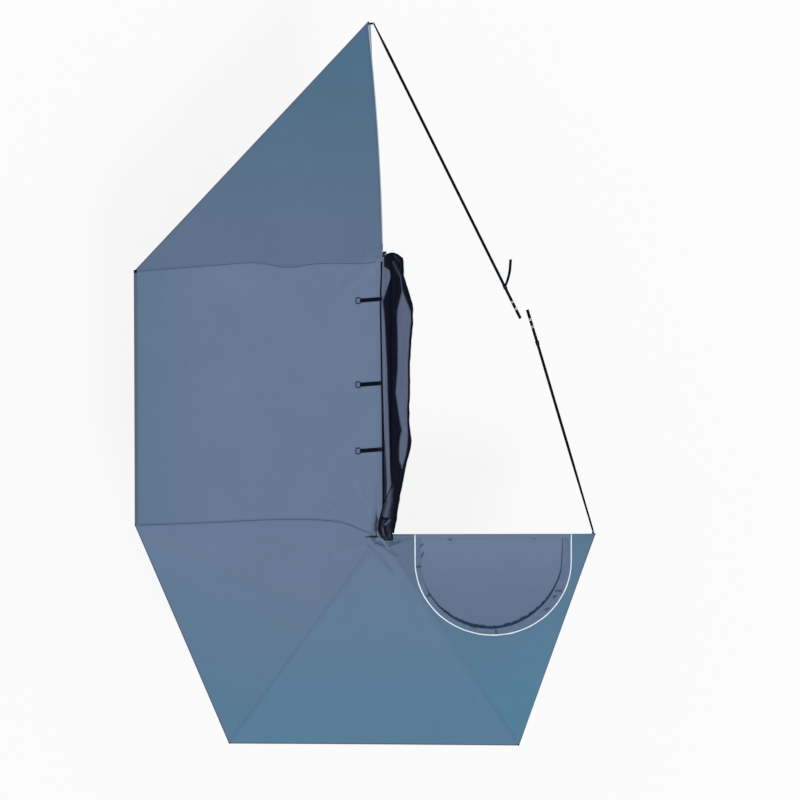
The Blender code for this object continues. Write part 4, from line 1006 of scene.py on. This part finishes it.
class AWNING_OT_trim(bpy.types.Operator):
    """Seams over the arms, hems, valances and stitches"""
    bl_idname = "awning.trim"
    bl_label = "Seams and hems"

    def execute(self, context):
        for panel in WEDGES:
            top = panel_grid(panel)
            if panel == "side_panel":
                top = top.swapaxes(0, 1)
            self.panel_trim(panel, top[-1], top[:, 0], top[:, -1])
        return {"FINISHED"}

    def panel_trim(self, panel, outer, one, two):
        """Sews a panel's outer edge and the edges over its arms."""
        parts, threads = [], []

        def sew(part, line, side, width, thickness, look, **more):
            parts.append(band_object(f"{panel}_{part}", line, side, width, thickness, look, **more))
        # The hem along the outer edge, inside it, with the valance below
        seam, valance = sizes().seam, sizes().valance
        inner = inward(outer, one[len(one) // 3])
        width = sizes().hem * (1 if panel == "side_panel" else 0.35)
        sew("hem", outer + inner * width / 2 + (0, 0, 0.0002), inner, width, SEWN, hem_cloth())
        drop = outer[2:-2] + inner[2:-2] * 0.0012 - np.array((0, 0, valance / 2 + 0.001))
        sew("valance", drop, (0, 0, 1), valance, 0.0016, hem_cloth(),
            rise=tuple(-inner[len(inner) // 2]))
        for share in (0.12, 0.88):
            threads.append(outer[1:-1] + inner[1:-1] * width * share + (0, 0, 0.0015))
        # Felled seams over the arms that carry this panel
        for key, line in (("one", one), ("two", two)) if panel == "side_panel" else (("two", two),):
            line = line[1:-1]
            side, centre = across(line), line + (0, 0, 0.0010)
            inside = inward(line, outer[len(outer) // 2])
            if panel in ("front_panel", "rear_right_panel"):
                centre = centre + inside * seam * 0.45
            sew(f"seam_{key}", centre, side, seam, SEWN,
                canopy_material(panel.removesuffix("_panel")))
            if panel == "side_panel":
                # Painted shadow: a dark line beside each side seam, where its fold shades the cloth
                sew(f"fold_{key}", centre + (0, 0, 0.0014), side, 0.006, 0.0008,
                    canvas("polycotton_canvas_fold", hues().fold))
            if panel == "front_panel":
                # Painted highlight: a pale strip along the front panel's free edge
                sew("rim", (line + inside * 0.003 + (0, 0, 0.0024))[8:], side[8:], 0.006, 0.0010,
                    canvas("bleached_edge", hues().rim))
            for share in (-0.36, 0.36):
                threads.append(centre + side * seam * share + (0, 0, 0.0013))
        pitch = sizes().stitch
        trim = paint(join(f"{panel}_trim", parts), shade=-0.012)
        stitches = paint(block_row(f"{panel}_stitches", threads, pitch,
                                   (pitch * 0.62, 0.0011, 0.0007), sewing_thread()), shade=0)
        for piece, slot in ((trim, "canopy_cloth"), (stitches, "webbing")):
            fold_with(piece, panel)


class AWNING_OT_flap(bpy.types.Operator):
    """The zipped flap in the rear right panel, with its cloth band, piping and zip"""
    bl_idname = "awning.flap"
    bl_label = "Tailgate flap"

    def execute(self, context):
        self.flap()
        self.band()
        self.zip()
        return {"FINISHED"}

    @staticmethod
    def place(piece, body, slot):
        fold_with(piece, "rear_right_panel", body, FLAP_DEPTH)

    def flap(self):
        outline = flap_line(0.0135)
        edge_y, half = outline[0, 1], len(outline) // 2
        depth = np.linspace(0, 1, 90)
        y = edge_y + (outline[:, 1].min() + 0.0015 - edge_y) * (1 - (1 - depth) ** 1.6)
        right, left = (np.interp(-y, -side[:, 1], side[:, 0])[:, None]
                       for side in (outline[:half], outline[::-1][:half]))
        x = left + (right - left) * np.linspace(0, 1, 180)
        plan = np.stack((x, np.broadcast_to(y[:, None], x.shape)), axis=-1)
        lift = 0.0016 * ripple(plan, 5.0, 9.0) - 0.004 * np.sin(np.pi * depth)[:, None]
        top = on_panel(plan, lift * np.clip(np.minimum(depth, 1 - depth)[:, None] * 6, 0, 1))
        made = sheet_object("tailgate_flap_cloth", top, CLOTH, canopy_material("flap"),
                            slope_shade(top) + self.pucker_shade(plan))
        self.place(made, "flap", "canopy_cloth")
        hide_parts("tailgate_flap")
        # The strip between the flap and the panel's straight edge, cut from the flap's cloth
        x = np.linspace(outline[-1, 0], outline[0, 0], 90)
        rear, front = (on_panel(np.stack((x, x * 0 + y), axis=1), 0.0034)
                       for y in (HEADING_Y - 0.032, HEADING_Y))
        strip = ribbon("flap_heading", front, rear, LINING, canopy_material("flap"), shade=-0.02)
        fold_with(strip, "rear_right_panel")

    # Share of the way round the flap from its right side, band's width, width of the painted shadow
    # under its free edge
    WIDTHS = ((0, 0.070, 0.003), (0.10, 0.076, 0.006), (0.20, 0.084, 0.013), (0.30, 0.080, 0.019),
              (0.40, 0.064, 0.026), (0.50, 0.050, 0.022), (0.60, 0.044, 0.025), (0.70, 0.042, 0.016),
              (0.78, 0.042, 0.007), (0.84, 0.040, 0.001), (1, 0.036, 0.001))
    # Painted shade in deep puckers of the cloth along the zip: from, to
    PUCKERS = (((0.262, -1.345), (0.276, -1.330)), ((0.268, -1.440), (0.283, -1.405)),
               ((0.225, -1.530), (0.255, -1.524)), ((0.322, -1.785), (0.340, -1.768)),
               ((0.925, -2.115), (0.922, -2.085)), ((1.36, -1.91), (1.39, -1.895)),
               ((1.455, -1.745), (1.50, -1.742)), ((0.505, -1.283), (0.530, -1.286)),
               ((1.250, -1.262), (1.262, -1.275)), ((1.43, -1.80), (1.452, -1.785)),
               ((0.62, -2.01), (0.65, -2.03)), ((0.70, -2.05), (0.745, -2.062)))

    # Painted shade: darker along each pucker's line
    def pucker_shade(self, plan):
        return np.maximum(sum(crease(plan, line, -0.8, 0.008) for line in self.PUCKERS), -0.9)

    def band(self):
        """The storm band over the zip: sewn at its outer edge, free at the inner one."""
        outer = flap_line(0.010, 300)
        share = travel(outer)
        band, band_shadow = (width[:, None] for width in read_off(self.WIDTHS, share / share[-1]))
        side = across(raised(outer, np.zeros(len(outer))))[:, :2]
        if side[len(side) // 2][1] < 0:
            side = -side
        band_shadow = band_shadow * (1 + 0.45 * ripple(outer, 30, 3.0)[:, None])
        free = outer + side * (band + 0.003 * ripple(outer, 22, 6.0)[:, None])
        k = np.linspace(0, 1, 9)[:, None]
        plan = between(outer[None], free[None], k[..., None])
        pucker = ripple(plan, 26.0, 2.0) * 0.0016 + ripple(plan, 60.0, 4.0) * 0.0008
        top = on_panel(plan, 0.0016 + 0.0045 * k ** 0.7 + pucker * k)
        # Painted light and shade on the band from its small puckers, with the deep puckers' painted
        # shade
        made = sheet_object("flap_zip_band", top, LINING,
                            canvas("polycotton_canvas_band", hues().band),
                            np.clip(pucker * 60, -0.17, 0.10) + self.pucker_shade(plan))
        self.place(made, "flap", "canopy_cloth")
        # Painted shadow: a dark strip that shows under the band's free edge, where the band shades
        # the cloth
        dark = ribbon("flap_facing", on_panel(free - side * 0.012, 0.0024),
                      on_panel(free + side * band_shadow, 0.0024), 0.0009,
                      canvas("polycotton_canvas_facing", hues().band_shadow))
        self.place(dark, "flap", "canopy_cloth")

    def zip(self):
        """Piping and zip teeth round the opening, on the panel's side."""
        line = flap_line(0.0045, 260)
        down = np.linspace(HEADING_Y, HEADING_Y - 0.0275, 6)
        ends = [np.stack((line[k, 0] * np.ones(6), y), axis=1)
                for k, y in ((0, down), (-1, down[::-1]))]
        line = np.vstack((ends[0], line, ends[1]))
        line = line + 0.0026 * np.stack((ripple(line, 9, 1.0), ripple(line, 9, 7.0)), axis=1)
        # It climbs over the heading at both ends
        line = on_panel(line, 0.0032 + 0.0022 * (line[:, 1] > -1.30))
        made = paint(band_object("flap_piping", line, across(line), 0.010, 0.0032,
                                 canvas("vinyl_piping", hues().piping)), shade=0)
        self.place(made, "rear_edge_arm", "zip_tape")
        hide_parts("flap_zip")
        teeth = block_row("flap_zip_teeth", [on_panel(flap_line(0.0125, 150), 0.0004)],
                          sizes().tooth, (sizes().tooth * 0.45, 0.006, 0.0018), black_nylon())
        self.place(teeth, "rear_edge_arm", "webbing")


class AWNING_OT_cover(bpy.types.Operator):
    """The travel cover, unzipped and thrown back over the roof bars, and its gathered end"""
    bl_idname = "awning.cover"
    bl_label = "Travel cover"

    # Place along the rail, where the pale face of painted sky reflection starts and ends, and the
    # outer edge
    STATIONS = ((-1.238, 0, 0, 0.022), (-1.206, 0, 0, 0.026), (-1.118, 0, 0, 0.044),
                (-1.03, 0, 0, 0.055), (-0.942, 0, 0, 0.071), (-0.854, 0, 0, 0.086),
                (-0.766, 0, 0, 0.104), (-0.678, 0.100, 0.100, 0.120),
                (-0.64, 0.090, 0.102, 0.128), (-0.59, 0.074, 0.118, 0.140),
                (-0.52, 0.072, 0.133, 0.160), (-0.458, 0.074, 0.142, 0.173),
                (-0.42, 0.077, 0.145, 0.176), (-0.37, 0.085, 0.147, 0.170),
                (-0.326, 0.096, 0.147, 0.163), (-0.27, 0.083, 0.143, 0.158),
                (-0.15, 0.064, 0.142, 0.156), (0.009, 0.042, 0.151, 0.163),
                (0.105, 0.050, 0.151, 0.163), (0.202, 0.058, 0.149, 0.162),
                (0.28, 0.060, 0.149, 0.163), (0.378, 0.060, 0.156, 0.170),
                (0.466, 0.060, 0.160, 0.176), (0.554, 0.058, 0.166, 0.184),
                (0.65, 0.053, 0.179, 0.190), (0.716, 0.056, 0.172, 0.190),
                (0.784, 0.070, 0.145, 0.185), (0.85, 0.086, 0.118, 0.166),
                (0.89, 0.096, 0.104, 0.150), (0.92, 0.098, 0.098, 0.143),
                (1.03, 0, 0, 0.110), (1.20, 0, 0, 0.105), (1.236, 0, 0, 0.103))
    # Place along the rail, and the two sides of the pale strip painted beside the groove
    STRIP = ((-0.93, -0.045, -0.060), (-0.905, -0.040, -0.039), (-0.81, -0.0356, 0.002),
             (-0.68, -0.039, -0.0084), (-0.475, -0.049, -0.0154), (-0.27, -0.058, -0.0216),
             (-0.134, -0.064, -0.0251), (0.009, -0.070, -0.0321), (0.211, -0.08, -0.0356),
             (0.348, -0.08, -0.0427), (0.484, -0.08, -0.0488), (0.62, -0.08, -0.0559),
             (0.715, -0.08, -0.063), (0.80, -0.08, -0.075), (0.866, -0.08, -0.0532),
             (0.95, -0.08, -0.0251), (1.0155, -0.08, -0.0048), (1.0736, -0.08, -0.0119),
             (1.10, -0.08, -0.0427), (1.14, -0.08, -0.070))
    # How far the sheet stands out over the groove towards the canopy
    BULGE = ((0.45, 0), (0.60, 0.004), (0.72, 0.020), (0.80, 0.022), (0.86, 0.013), (0.95, 0))
    # The front end's outline
    END = ((-0.05, 1.205), (-0.037, 1.222), (-0.005, 1.234), (0.028, 1.236), (0.068, 1.217),
           (0.113, 1.180))
    # Painted highlights on the cover near its front end: line, amount, width
    STREAKS = (([(0.084, 1.03), (0.097, 0.900)], 0.55, 0.005),
               ([(0.02, 1.15), (0.05, 1.09), (0.08, 1.03)], 0.28, 0.010),
               ([(0.028, 1.21), (0.074, 1.157)], 0.25, 0.006))
    # The gathered end over the rear hinge: place along the rail, left side, right side
    GATHER = ((-1.298, -0.050, 0.012), (-1.285, -0.070, 0.019), (-1.267, -0.090, 0.018),
              (-1.232, -0.108, 0.014), (-1.19, -0.119, 0.008), (-1.153, -0.117, 0.012),
              (-1.091, -0.100, 0.018), (-0.977, -0.070, 0.021), (-0.904, -0.040, 0.022),
              (-0.85, -0.008, 0.024), (-0.800, 0.022, 0.030))
    # Its folds: line, tone (lit face above 0, hollow below), width
    GATHERS = (([(-0.0116, -0.850), (-0.0164, -0.953), (-0.0334, -1.021), (-0.0471, -1.080)],
                0.62, 0.021),
               ([(-0.0116, -1.1166), (-0.0525, -1.1575)], 0.9, 0.006),
               ([(-0.077, -1.184), (-0.070, -1.215), (-0.062, -1.245)], 0.5, 0.007),
               ([(-0.106, -1.135), (-0.115, -1.188)], 0.4, 0.004),
               ([(-0.005, -1.21), (-0.02, -1.27)], 0.22, 0.006),
               ([(-0.100, -1.089), (-0.070, -1.098), (-0.030, -1.103)], -0.6, 0.008),
               ([(-0.084, -1.091), (-0.1016, -1.1616), (-0.088, -1.232)], -0.6, 0.007),
               ([(-0.050, -1.17), (-0.055, -1.21), (-0.045, -1.24)], -0.4, 0.007))

    def execute(self, context):
        s = np.linspace(0, 1, 44)
        y = np.linspace(-1.232, 1.236, 260)[:, None]
        start, end, reach = read_off(self.STATIONS, y)
        near, far = read_off(self.STRIP, y)
        bulge = read_off(self.BULGE, y)[0]
        x, z = np.moveaxis([self.section(edge, s) for edge in reach[:, 0]], -1, 0)
        # Soft folds, deeper where the sheet is bunched in front and calmer behind
        plan = np.stack(np.broadcast_arrays(x, y), axis=-1)
        fold = (ripple(plan * (15, 6.5), 1, 0.7) * 0.7
                + ripple(plan * (15, 6.5), 2.7, 0.7 * 2.7) * 0.3)
        ridge = 1 - abs(ripple(plan * (20, 7) + y[..., None] * (3, 0), 1, 4.2)) * 2
        bunch = np.clip((y - 0.85) / 0.3, 0, 1)
        calm = 0.4 + 0.6 * np.clip((y + 0.85) / 0.1, 0, 1)
        guard = np.minimum(s * 8, 1.0)
        lift = (0.009 + 0.009 * bunch) * (0.6 + fold) + 0.007 * ridge * (0.4 + bunch)
        z = z + lift * guard * (0.55 + 0.45 * s) * calm
        sway = np.stack(np.broadcast_arrays(y * 14, s * 5), axis=-1)
        x = x + 0.004 * ripple(sway, 1, 2.0) * guard
        # Raised at the corner of the front end, and standing out over the groove
        z = z + 0.0035 * np.exp(-((x + 0.0503) / 0.014) ** 2) * (y > 1.19)
        over = np.exp(-((x - x[:, :1]) / 0.035) ** 2)
        x = x - bulge * over
        z = z + 0.25 * bulge * over
        short = 1.236 - read_off(self.END, x)[0]
        y = y - short * np.clip((y - 1.0) / 0.236, 0, 1) ** 2
        top = np.stack((x, y, np.minimum(z, 0.083)), axis=-1)
        # Painted sheen: the pale face stands for the sky's reflection, and the strip beside the
        # groove is painted pale too
        face = self.soft_step((x - start) * 420) * self.soft_step((end - x) * 420)
        beside = 1.1 * self.soft_step((far - x) * 600) * self.soft_step((x - near) * 900)
        pale = np.maximum(face * (end - start > 0.004), beside)
        for streak in self.STREAKS:
            pale = np.maximum(pale, crease(top[..., :2], *streak))
        look = coated_sheet("pvc_coated_polyester", hues().cover)
        made = paint(sheet_object("travel_cover_sheet", top, CLOTH, look), pale=pale)
        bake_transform(made)
        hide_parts("travel_cover")
        self.binding(top[:, -1])
        self.gather(top, look)
        return {"FINISHED"}

    @staticmethod
    def section(far, shares):
        """The cover across the rail, as in the solid, with its top a little higher."""
        far = max(far, 0.026)
        shape = [(-0.0503, 0.0670), (-0.031, 0.0660), (-0.0125, 0.0535), (-0.0040, 0.036),
                 (0.008, 0.0185), (0.024, 0.0125)]
        shape += [(0.032 + (far - 0.032) * k / 4, 0.0115) for k in range(1, 5)]
        shape = np.array(shape)
        if far < 0.09:
            shrink = (far + 0.0503) / (0.09 + 0.0503)
            shape[:, 0] = np.minimum(shape[:, 0], far)
            shape[:, 1] = shape[:, 1] * (0.65 + 0.35 * shrink) + 0.012 * (1 - shrink)
        run = travel(shape)
        return np.stack([np.interp(shares, run / run[-1], shape[:, k]) for k in (0, 1)], axis=1)

    @staticmethod
    def soft_step(t):
        return 1 / (1 + np.exp(-t))

    @staticmethod
    def binding(edge):
        """Bound edge and zip teeth along the cover's free edge."""
        side = -across(edge)
        made = band_object("cover_binding", edge - side * 0.004, side, 0.016, 0.0042,
                           black_webbing())
        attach(made, "cover")
        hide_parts("cover_zip")
        row = block_row("cover_zip_teeth", [edge[4:-4] + side[4:-4] * 0.0045], sizes().tooth,
                        (sizes().tooth * 0.45, 0.005, 0.003), black_nylon())
        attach(row, "cover")

    def gather(self, under, look):
        """The cover's end, drawn together in lengthwise folds over the rear hinge."""
        first, last = -0.80, -1.298
        y, u = np.linspace(first, last, 150)[:, None], np.linspace(0, 1, 46)[None, :]
        left, right = read_off(self.GATHER, y)
        plan = np.stack((left + (right - left) * u, y + 0 * u), axis=-1)
        # It lies on the cover's sheet, and on the hinge beyond that
        floor = np.empty(plan.shape[:2])
        beyond = ease((-1.225 - y) / 0.02)
        for j, x in enumerate(plan[..., 0]):
            sheet = under[np.argmin(np.abs(under[:, 0, 1] - y[j, 0]))]
            on = np.interp(x, sheet[:, 0], sheet[:, 2]) + 0.003
            floor[j] = np.where(x < -0.045, 0.0675, between(on, 0.0665, beyond[j]))
        floor = np.maximum(floor, floor.mean(axis=1)[:, None] - 0.02)
        tone = creases(plan, self.GATHERS)
        rim = np.minimum(u, 1 - u) * 5
        body = ease(rim) * ease(np.minimum(first - y, y - last) / 0.05)
        fold = np.sin(u * 17 + 9 * y) * 0.35 + ripple(plan * (1.0, 0.4), 60, 3.0) * 0.7
        z = floor + body * (0.0035 + 0.0022 * fold + 0.006 * np.clip(tone, -0.5, 1))
        top = raised(plan, np.minimum(z, 0.084))
        made = sheet_object("cover_end_gather", top, CLOTH, look)
        # Painted light: the lit faces of the folds take the pale sheen colour, and the hollows stay
        # black
        paint(made, pale=np.clip(tone + 0.10 + 0.12 * fold, 0, 1) * ease(rim * 1.5))
        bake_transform(made)


class AWNING_OT_straps(bpy.types.Operator):
    """Roll straps on the canopy, and tension straps from the outer arms to the roof bar"""
    bl_idname = "awning.straps"
    bl_label = "Straps"

    def execute(self, context):
        for number in (1, 2, 3):
            self.roll_strap(number)
        self.tension("front_strap", "apex", 1.120, True)
        self.tension("rear_strap", "rear_edge", 1.211, False)
        return {"FINISHED"}

    @staticmethod
    def roll_strap(number):
        low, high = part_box(f"roll_strap_{number}")
        x = np.linspace(high[0] - 0.002, low[0] + 0.020, 40)
        share = (high[0] - x) / (high[0] - low[0])
        # It lies a little askew
        plan = np.stack((x, (low[1] + high[1]) / 2 + 0.008 - 0.017 * share), axis=1)
        line = raised(plan, side_height(plan) + 0.0031 + 0.0022 * ease((x + 0.125) / 0.018))
        strap = band_object(f"roll_strap_webbing_{number}", line, (0, 1, 0), 0.035, 0.0018,
                            black_webbing())
        # The side-release buckle's frame at the strap's free end
        buckle = loop_of_bar(f"roll_strap_buckle_{number}", 0.038, 0.050, 0.0034, black_nylon())
        spot = np.array((low[0] + 0.002, line[-1, 1]))
        buckle.data.transform(Matrix.Translation((*spot, float(side_height(spot)) + 0.0045)))
        # A box of stitches where the strap is sewn at the rail
        half, above = 0.012, 0.0012
        box = [line[1:6] + (0, d, above) for d in (-half, half)]
        box += [line[k] + [(0, d, above) for d in np.linspace(-half, half, 6)] for k in (1, 6)]
        stitch = paint(block_row(f"roll_strap_stitches_{number}", box, 0.004,
                                 (0.0026, 0.0009, 0.0007), sewing_thread()), shade=0)
        for piece in (strap, buckle, stitch):
            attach(piece, "rail")
        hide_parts(f"roll_strap_{number}")

    @staticmethod
    def ladder(name):
        """A steel ladder buckle: a rounded frame with a bar across its middle."""
        # Half its length, width and height, the bars' width, and how far in they meet
        x, y, z, bar, lap = 0.010, 0.015, 0.002, 0.0038, 0.00342
        plan = ((-x, bar - x, -y, y), (x - bar, x, -y, y), (-bar / 2, bar / 2, lap - y, y - lap),
                (lap - x, x - lap, -y, bar - y), (lap - x, x - lap, y - bar, y))
        blocks = [(*sides, -z, z) for sides in plan]
        return block_object(name, blocks, zinc_steel(), 0.00088, 3)

    @staticmethod
    def cam_buckle(name):
        """A cam buckle: base, side plates, toothed lever with its grip, and pin."""
        blocks = ((-0.020, 0.020, -0.0165, 0.0165, -0.0035, -0.0020),
                  (-0.020, 0.014, -0.0165, -0.0150, -0.0025, 0.0085),
                  (-0.020, 0.014, 0.0150, 0.0165, -0.0025, 0.0085),
                  (-0.010, 0.016, -0.0145, 0.0145, 0.0062, 0.0084),
                  (0.015, 0.022, -0.0130, 0.0130, 0.0060, 0.0104))
        pin = ((-0.010, 0, 0.0045), 0.0026, 0.036)
        return block_object(name, blocks, powder_coat(), 0.0005, 2, [pin])

    def tension(self, name, arm, bar_x, tail):
        """The strap from the arm's lug to its buckle, and the loop round the roof bar."""
        # From the lug beside the arm's tip
        d = way(arm)
        beside = np.array((-d[1], d[0])) * (-0.041 if arm == "apex" else 0.041)
        start = tip(arm) + beside - d * 0.009
        z = arm_top(arm) - OVER_ARM - 0.010 + 0.0026
        bar = np.array((bar_x, 0.695))
        run = unit(start - bar)
        side = np.array((-run[1], run[0], 0))
        buckle_at, seat = 0.266, 0.0075
        end = bar + run * buckle_at
        t = np.linspace(0, 1, 90)[:, None]
        line = np.concatenate((between(start, end, t), between(z, seat + 0.004, t)), axis=1)
        line[:, 2] -= 0.010 * np.sin(np.pi * t[:, 0])
        # It leaves the lug on edge and turns flat on its way to the buckle
        turned, straight = (1.0, 0.15) if tail else (0.90, 0.75)
        lean = turned * (1 - ease(t / straight))
        twist = side * np.cos(lean) + np.array((0, 0, 1)) * np.sin(lean)
        strap = band_object(f"{name}_webbing", line, twist, *STRAP, black_webbing())
        # The loop: from the buckle over the bar, round it and back
        half = 0.033 / abs(run[1]) + 0.003
        loop = [(buckle_at - 0.006, seat + 0.001), (half + 0.05, 0.0022), (half, 0.0014),
                (0.0, 0.0012), (-half + 0.004, 0.0012), (-half - 0.002, -0.004),
                (-half - 0.002, -0.027), (-half + 0.004, -0.0315), (0.0, -0.0315),
                (half, -0.0312), (half + 0.02, -0.027), (buckle_at * 0.7, -0.010),
                (buckle_at - 0.012, seat - 0.006)]
        route = smooth_line([(*(bar + run * s), h) for s, h in loop], 0.006)
        ring = band_object(f"{name}_loop", route, side, *STRAP, black_webbing())
        turn = Matrix.Rotation(math.atan2(run[1], run[0]), 4, "Z")
        buckle = self.cam_buckle(f"{name}_cam_buckle")
        buckle.data.transform(Matrix.Translation((*end, seat + 0.002)) @ turn)
        pieces = [strap, ring, buckle]
        for k, s in enumerate((0.118, 0.050)):
            hook = self.ladder(f"{name}_hook_{k}")
            spot = (*(bar + run * s), 0.0065 + 0.001 * k)
            hook.data.transform(Matrix.Translation(spot) @ turn)
            pieces.append(hook)
        if tail:
            steps = np.array(((0, 0, 0.009), (0.015, 0.037, 0.014), (0.033, 0.095, 0.010),
                              (0.045, 0.155, -0.0195), (0.0525, 0.245, -0.0695)))
            route = smooth_line(steps + (*end, seat), 0.008)
            loose = band_object(f"{name}_tail", route, (1.0, 0.1, 0.0), 0.024, 0.0016,
                                black_webbing())
            pieces.append(loose)
        for piece in pieces:
            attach(piece, f"{arm}_arm")
            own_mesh(piece)
        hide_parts(name)
        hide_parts(f"{name}_buckle")


class AWNING_OT_corners(bpy.types.Operator):
    """Webbing pockets that hold the canopy's corners on the arm caps"""
    bl_idname = "awning.corners"
    bl_label = "Corner pockets"

    def execute(self, context):
        for arm, panel in (("front_side", "side_panel"), ("rear_side", "side_panel"),
                           ("rear_left", "rear_left_panel"), ("rear_right", "rear_panel"),
                           ("rear_edge", "rear_right_panel"), ("apex", "front_panel")):
            self.pocket(arm, panel)
        return {"FINISHED"}

    @staticmethod
    def pocket(arm, panel):
        d = way(arm)
        out = unit(corner(arm) - pivot(arm))
        size = 0.027 if arm == "front_side" else 0.011
        plan = corner(arm) - out * (size * np.linspace(1, 0, 6)[:, None] + 0.001)
        line = raised(plan, np.full(len(plan), arm_top(arm) + 0.0024))
        made = band_object(f"{arm}_corner_pocket", line, (-d[1], d[0], 0), size, SEWN,
                           black_webbing())
        fold_with(made, panel)


class AWNING_OT_fittings(bpy.types.Operator):
    """Rail, brackets, hinges, arms and bolts, with their real finishes"""
    bl_idname = "awning.fittings"
    bl_label = "Rail, arms and fittings"

    def execute(self, context):
        rail = drawn_metal("anodised_aluminium_rail", hues().metal, 0.38, 1)
        tubes = [drawn_metal(f"anodised_aluminium_tube_{k}", hues().tube, 0.34, k) for k in (0, 1)]
        for name, part in frame["nodes"].items():
            if part.hide_render:
                continue
            if name == "mounting_rail":
                look = rail
            elif name.endswith("_arm_tube"):
                look = tubes[1 if name.startswith("apex") else 0]
            elif name.endswith(("_knuckle", "_cap", "_welt")) or name.startswith("rail_cap"):
                look = black_nylon()
            elif "bracket" in name:
                look = powder_coat()
            else:
                look = zinc_steel()
            for place in part.material_slots:
                place.material = look
        return {"FINISHED"}


class AWNING_OT_stage(bpy.types.Operator):
    """Pale floor, soft light and a camera that looks straight down"""
    bl_idname = "awning.stage"
    bl_label = "Stage"

    FLOOR_HALF = 60.0
    FLOOR_Z = -1.95
    EYE_Z = 30.0
    SEEN_WIDTH = 7.04       # at the awning's height
    SEEN_CENTRE = (0.0788, -0.0616)

    def execute(self, context):
        scene = context.scene
        scene.view_settings.view_transform = "Standard"
        self.floor()
        self.light(scene)
        camera = bpy.data.cameras.new("view_from_above")
        camera.sensor_width = 36
        camera.lens = 36 * self.EYE_Z / self.SEEN_WIDTH
        camera.clip_end = 200
        scene.camera = add_object("view_from_above", camera)
        scene.camera.location = (*self.SEEN_CENTRE, self.EYE_Z)
        return {"FINISHED"}

    def floor(self):
        look = bpy.data.materials.new("pale_floor")
        look.use_nodes = True
        tree = look.node_tree
        shader = tree.nodes["Principled BSDF"]
        matt_grey = {"Base Color": (0.86, 0.86, 0.86, 1), "Roughness": 0.9,
                     "Specular IOR Level": 0.0}
        for key, value in matt_grey.items():
            shader.inputs[key].default_value = value
        # To the camera and in a gloss it's mostly plain white
        glow = node(tree, "ShaderNodeEmission", {"Color": (1, 1, 1, 1), "Strength": 1.0})
        path = node(tree, "ShaderNodeLightPath").node.outputs
        seen = path["Is Camera Ray"]
        for kind in ("Is Glossy Ray", "Is Transmission Ray"):
            seen = node(tree, "ShaderNodeMath", {0: seen, 1: path[kind]}, operation="MAXIMUM")
        share = node(tree, "ShaderNodeMath", {0: seen, 1: 0.86}, operation="MULTIPLY")
        mix = node(tree, "ShaderNodeMixShader", {0: share, 1: shader.outputs[0], 2: glow})
        tree.links.new(mix, tree.nodes["Material Output"].inputs["Surface"])
        corners = [(x * self.FLOOR_HALF, y * self.FLOOR_HALF, self.FLOOR_Z)
                   for x, y in ((-1, -1), (1, -1), (1, 1), (-1, 1))]
        made = mesh_object("floor", corners, [(0, 1, 2, 3)], look)

    @staticmethod
    def light(scene):
        world = bpy.data.worlds.new("studio")
        scene.world = world
        world.use_nodes = True
        tree = world.node_tree
        back = tree.nodes["Background"]
        back.inputs["Strength"].default_value = 0.62
        back.inputs["Color"].default_value = (0.97, 0.985, 1.0, 1)
        white = node(tree, "ShaderNodeBackground", {"Color": (1, 1, 1, 1), "Strength": 1.0})
        seen = node(tree, "ShaderNodeLightPath", out="Is Camera Ray")
        mix = node(tree, "ShaderNodeMixShader", {0: seen, 1: back.outputs[0], 2: white})
        tree.links.new(mix, tree.nodes["World Output"].inputs["Surface"])
        sun = bpy.data.lights.new("soft_key", "SUN")
        sun.energy = 1.25
        sun.angle = math.radians(18)
        lamp = add_object("soft_key", sun)
        lamp.rotation_euler = (math.radians(24), math.radians(16), 0)


class AWNING_PT_panel(bpy.types.Panel):
    """Lists the awning's steps"""
    bl_idname = "AWNING_PT_panel"
    bl_label = "Vehicle side awning"
    bl_space_type = "VIEW_3D"
    bl_region_type = "UI"
    bl_category = "Awning"

    def draw(self, context):
        for group in (context.scene.awning_sizes, context.scene.awning_colours):
            for key in group.bl_rna.properties.keys():
                if key not in ("rna_type", "name"):
                    self.layout.prop(group, key)
        for kind in STEPS:
            self.layout.operator(kind.bl_idname)


STEPS = (AWNING_OT_canopy, AWNING_OT_trim, AWNING_OT_flap, AWNING_OT_cover,
         AWNING_OT_straps, AWNING_OT_corners, AWNING_OT_fittings,
         AWNING_OT_stage)
CLASSES = (AwningSizes, AwningColours) + STEPS + (AWNING_PT_panel,)


def register():
    for kind in CLASSES:
        bpy.utils.register_class(kind)
    bpy.types.Scene.awning_sizes = bpy.props.PointerProperty(type=AwningSizes)
    bpy.types.Scene.awning_colours = bpy.props.PointerProperty(type=AwningColours)


def unregister():
    del bpy.types.Scene.awning_sizes
    del bpy.types.Scene.awning_colours
    for kind in reversed(CLASSES):
        bpy.utils.unregister_class(kind)


def main():
    register()
    for kind in STEPS:
        group, name = kind.bl_idname.split(".")
        getattr(getattr(bpy.ops, group), name)()


if __name__ == "__main__":
    main()
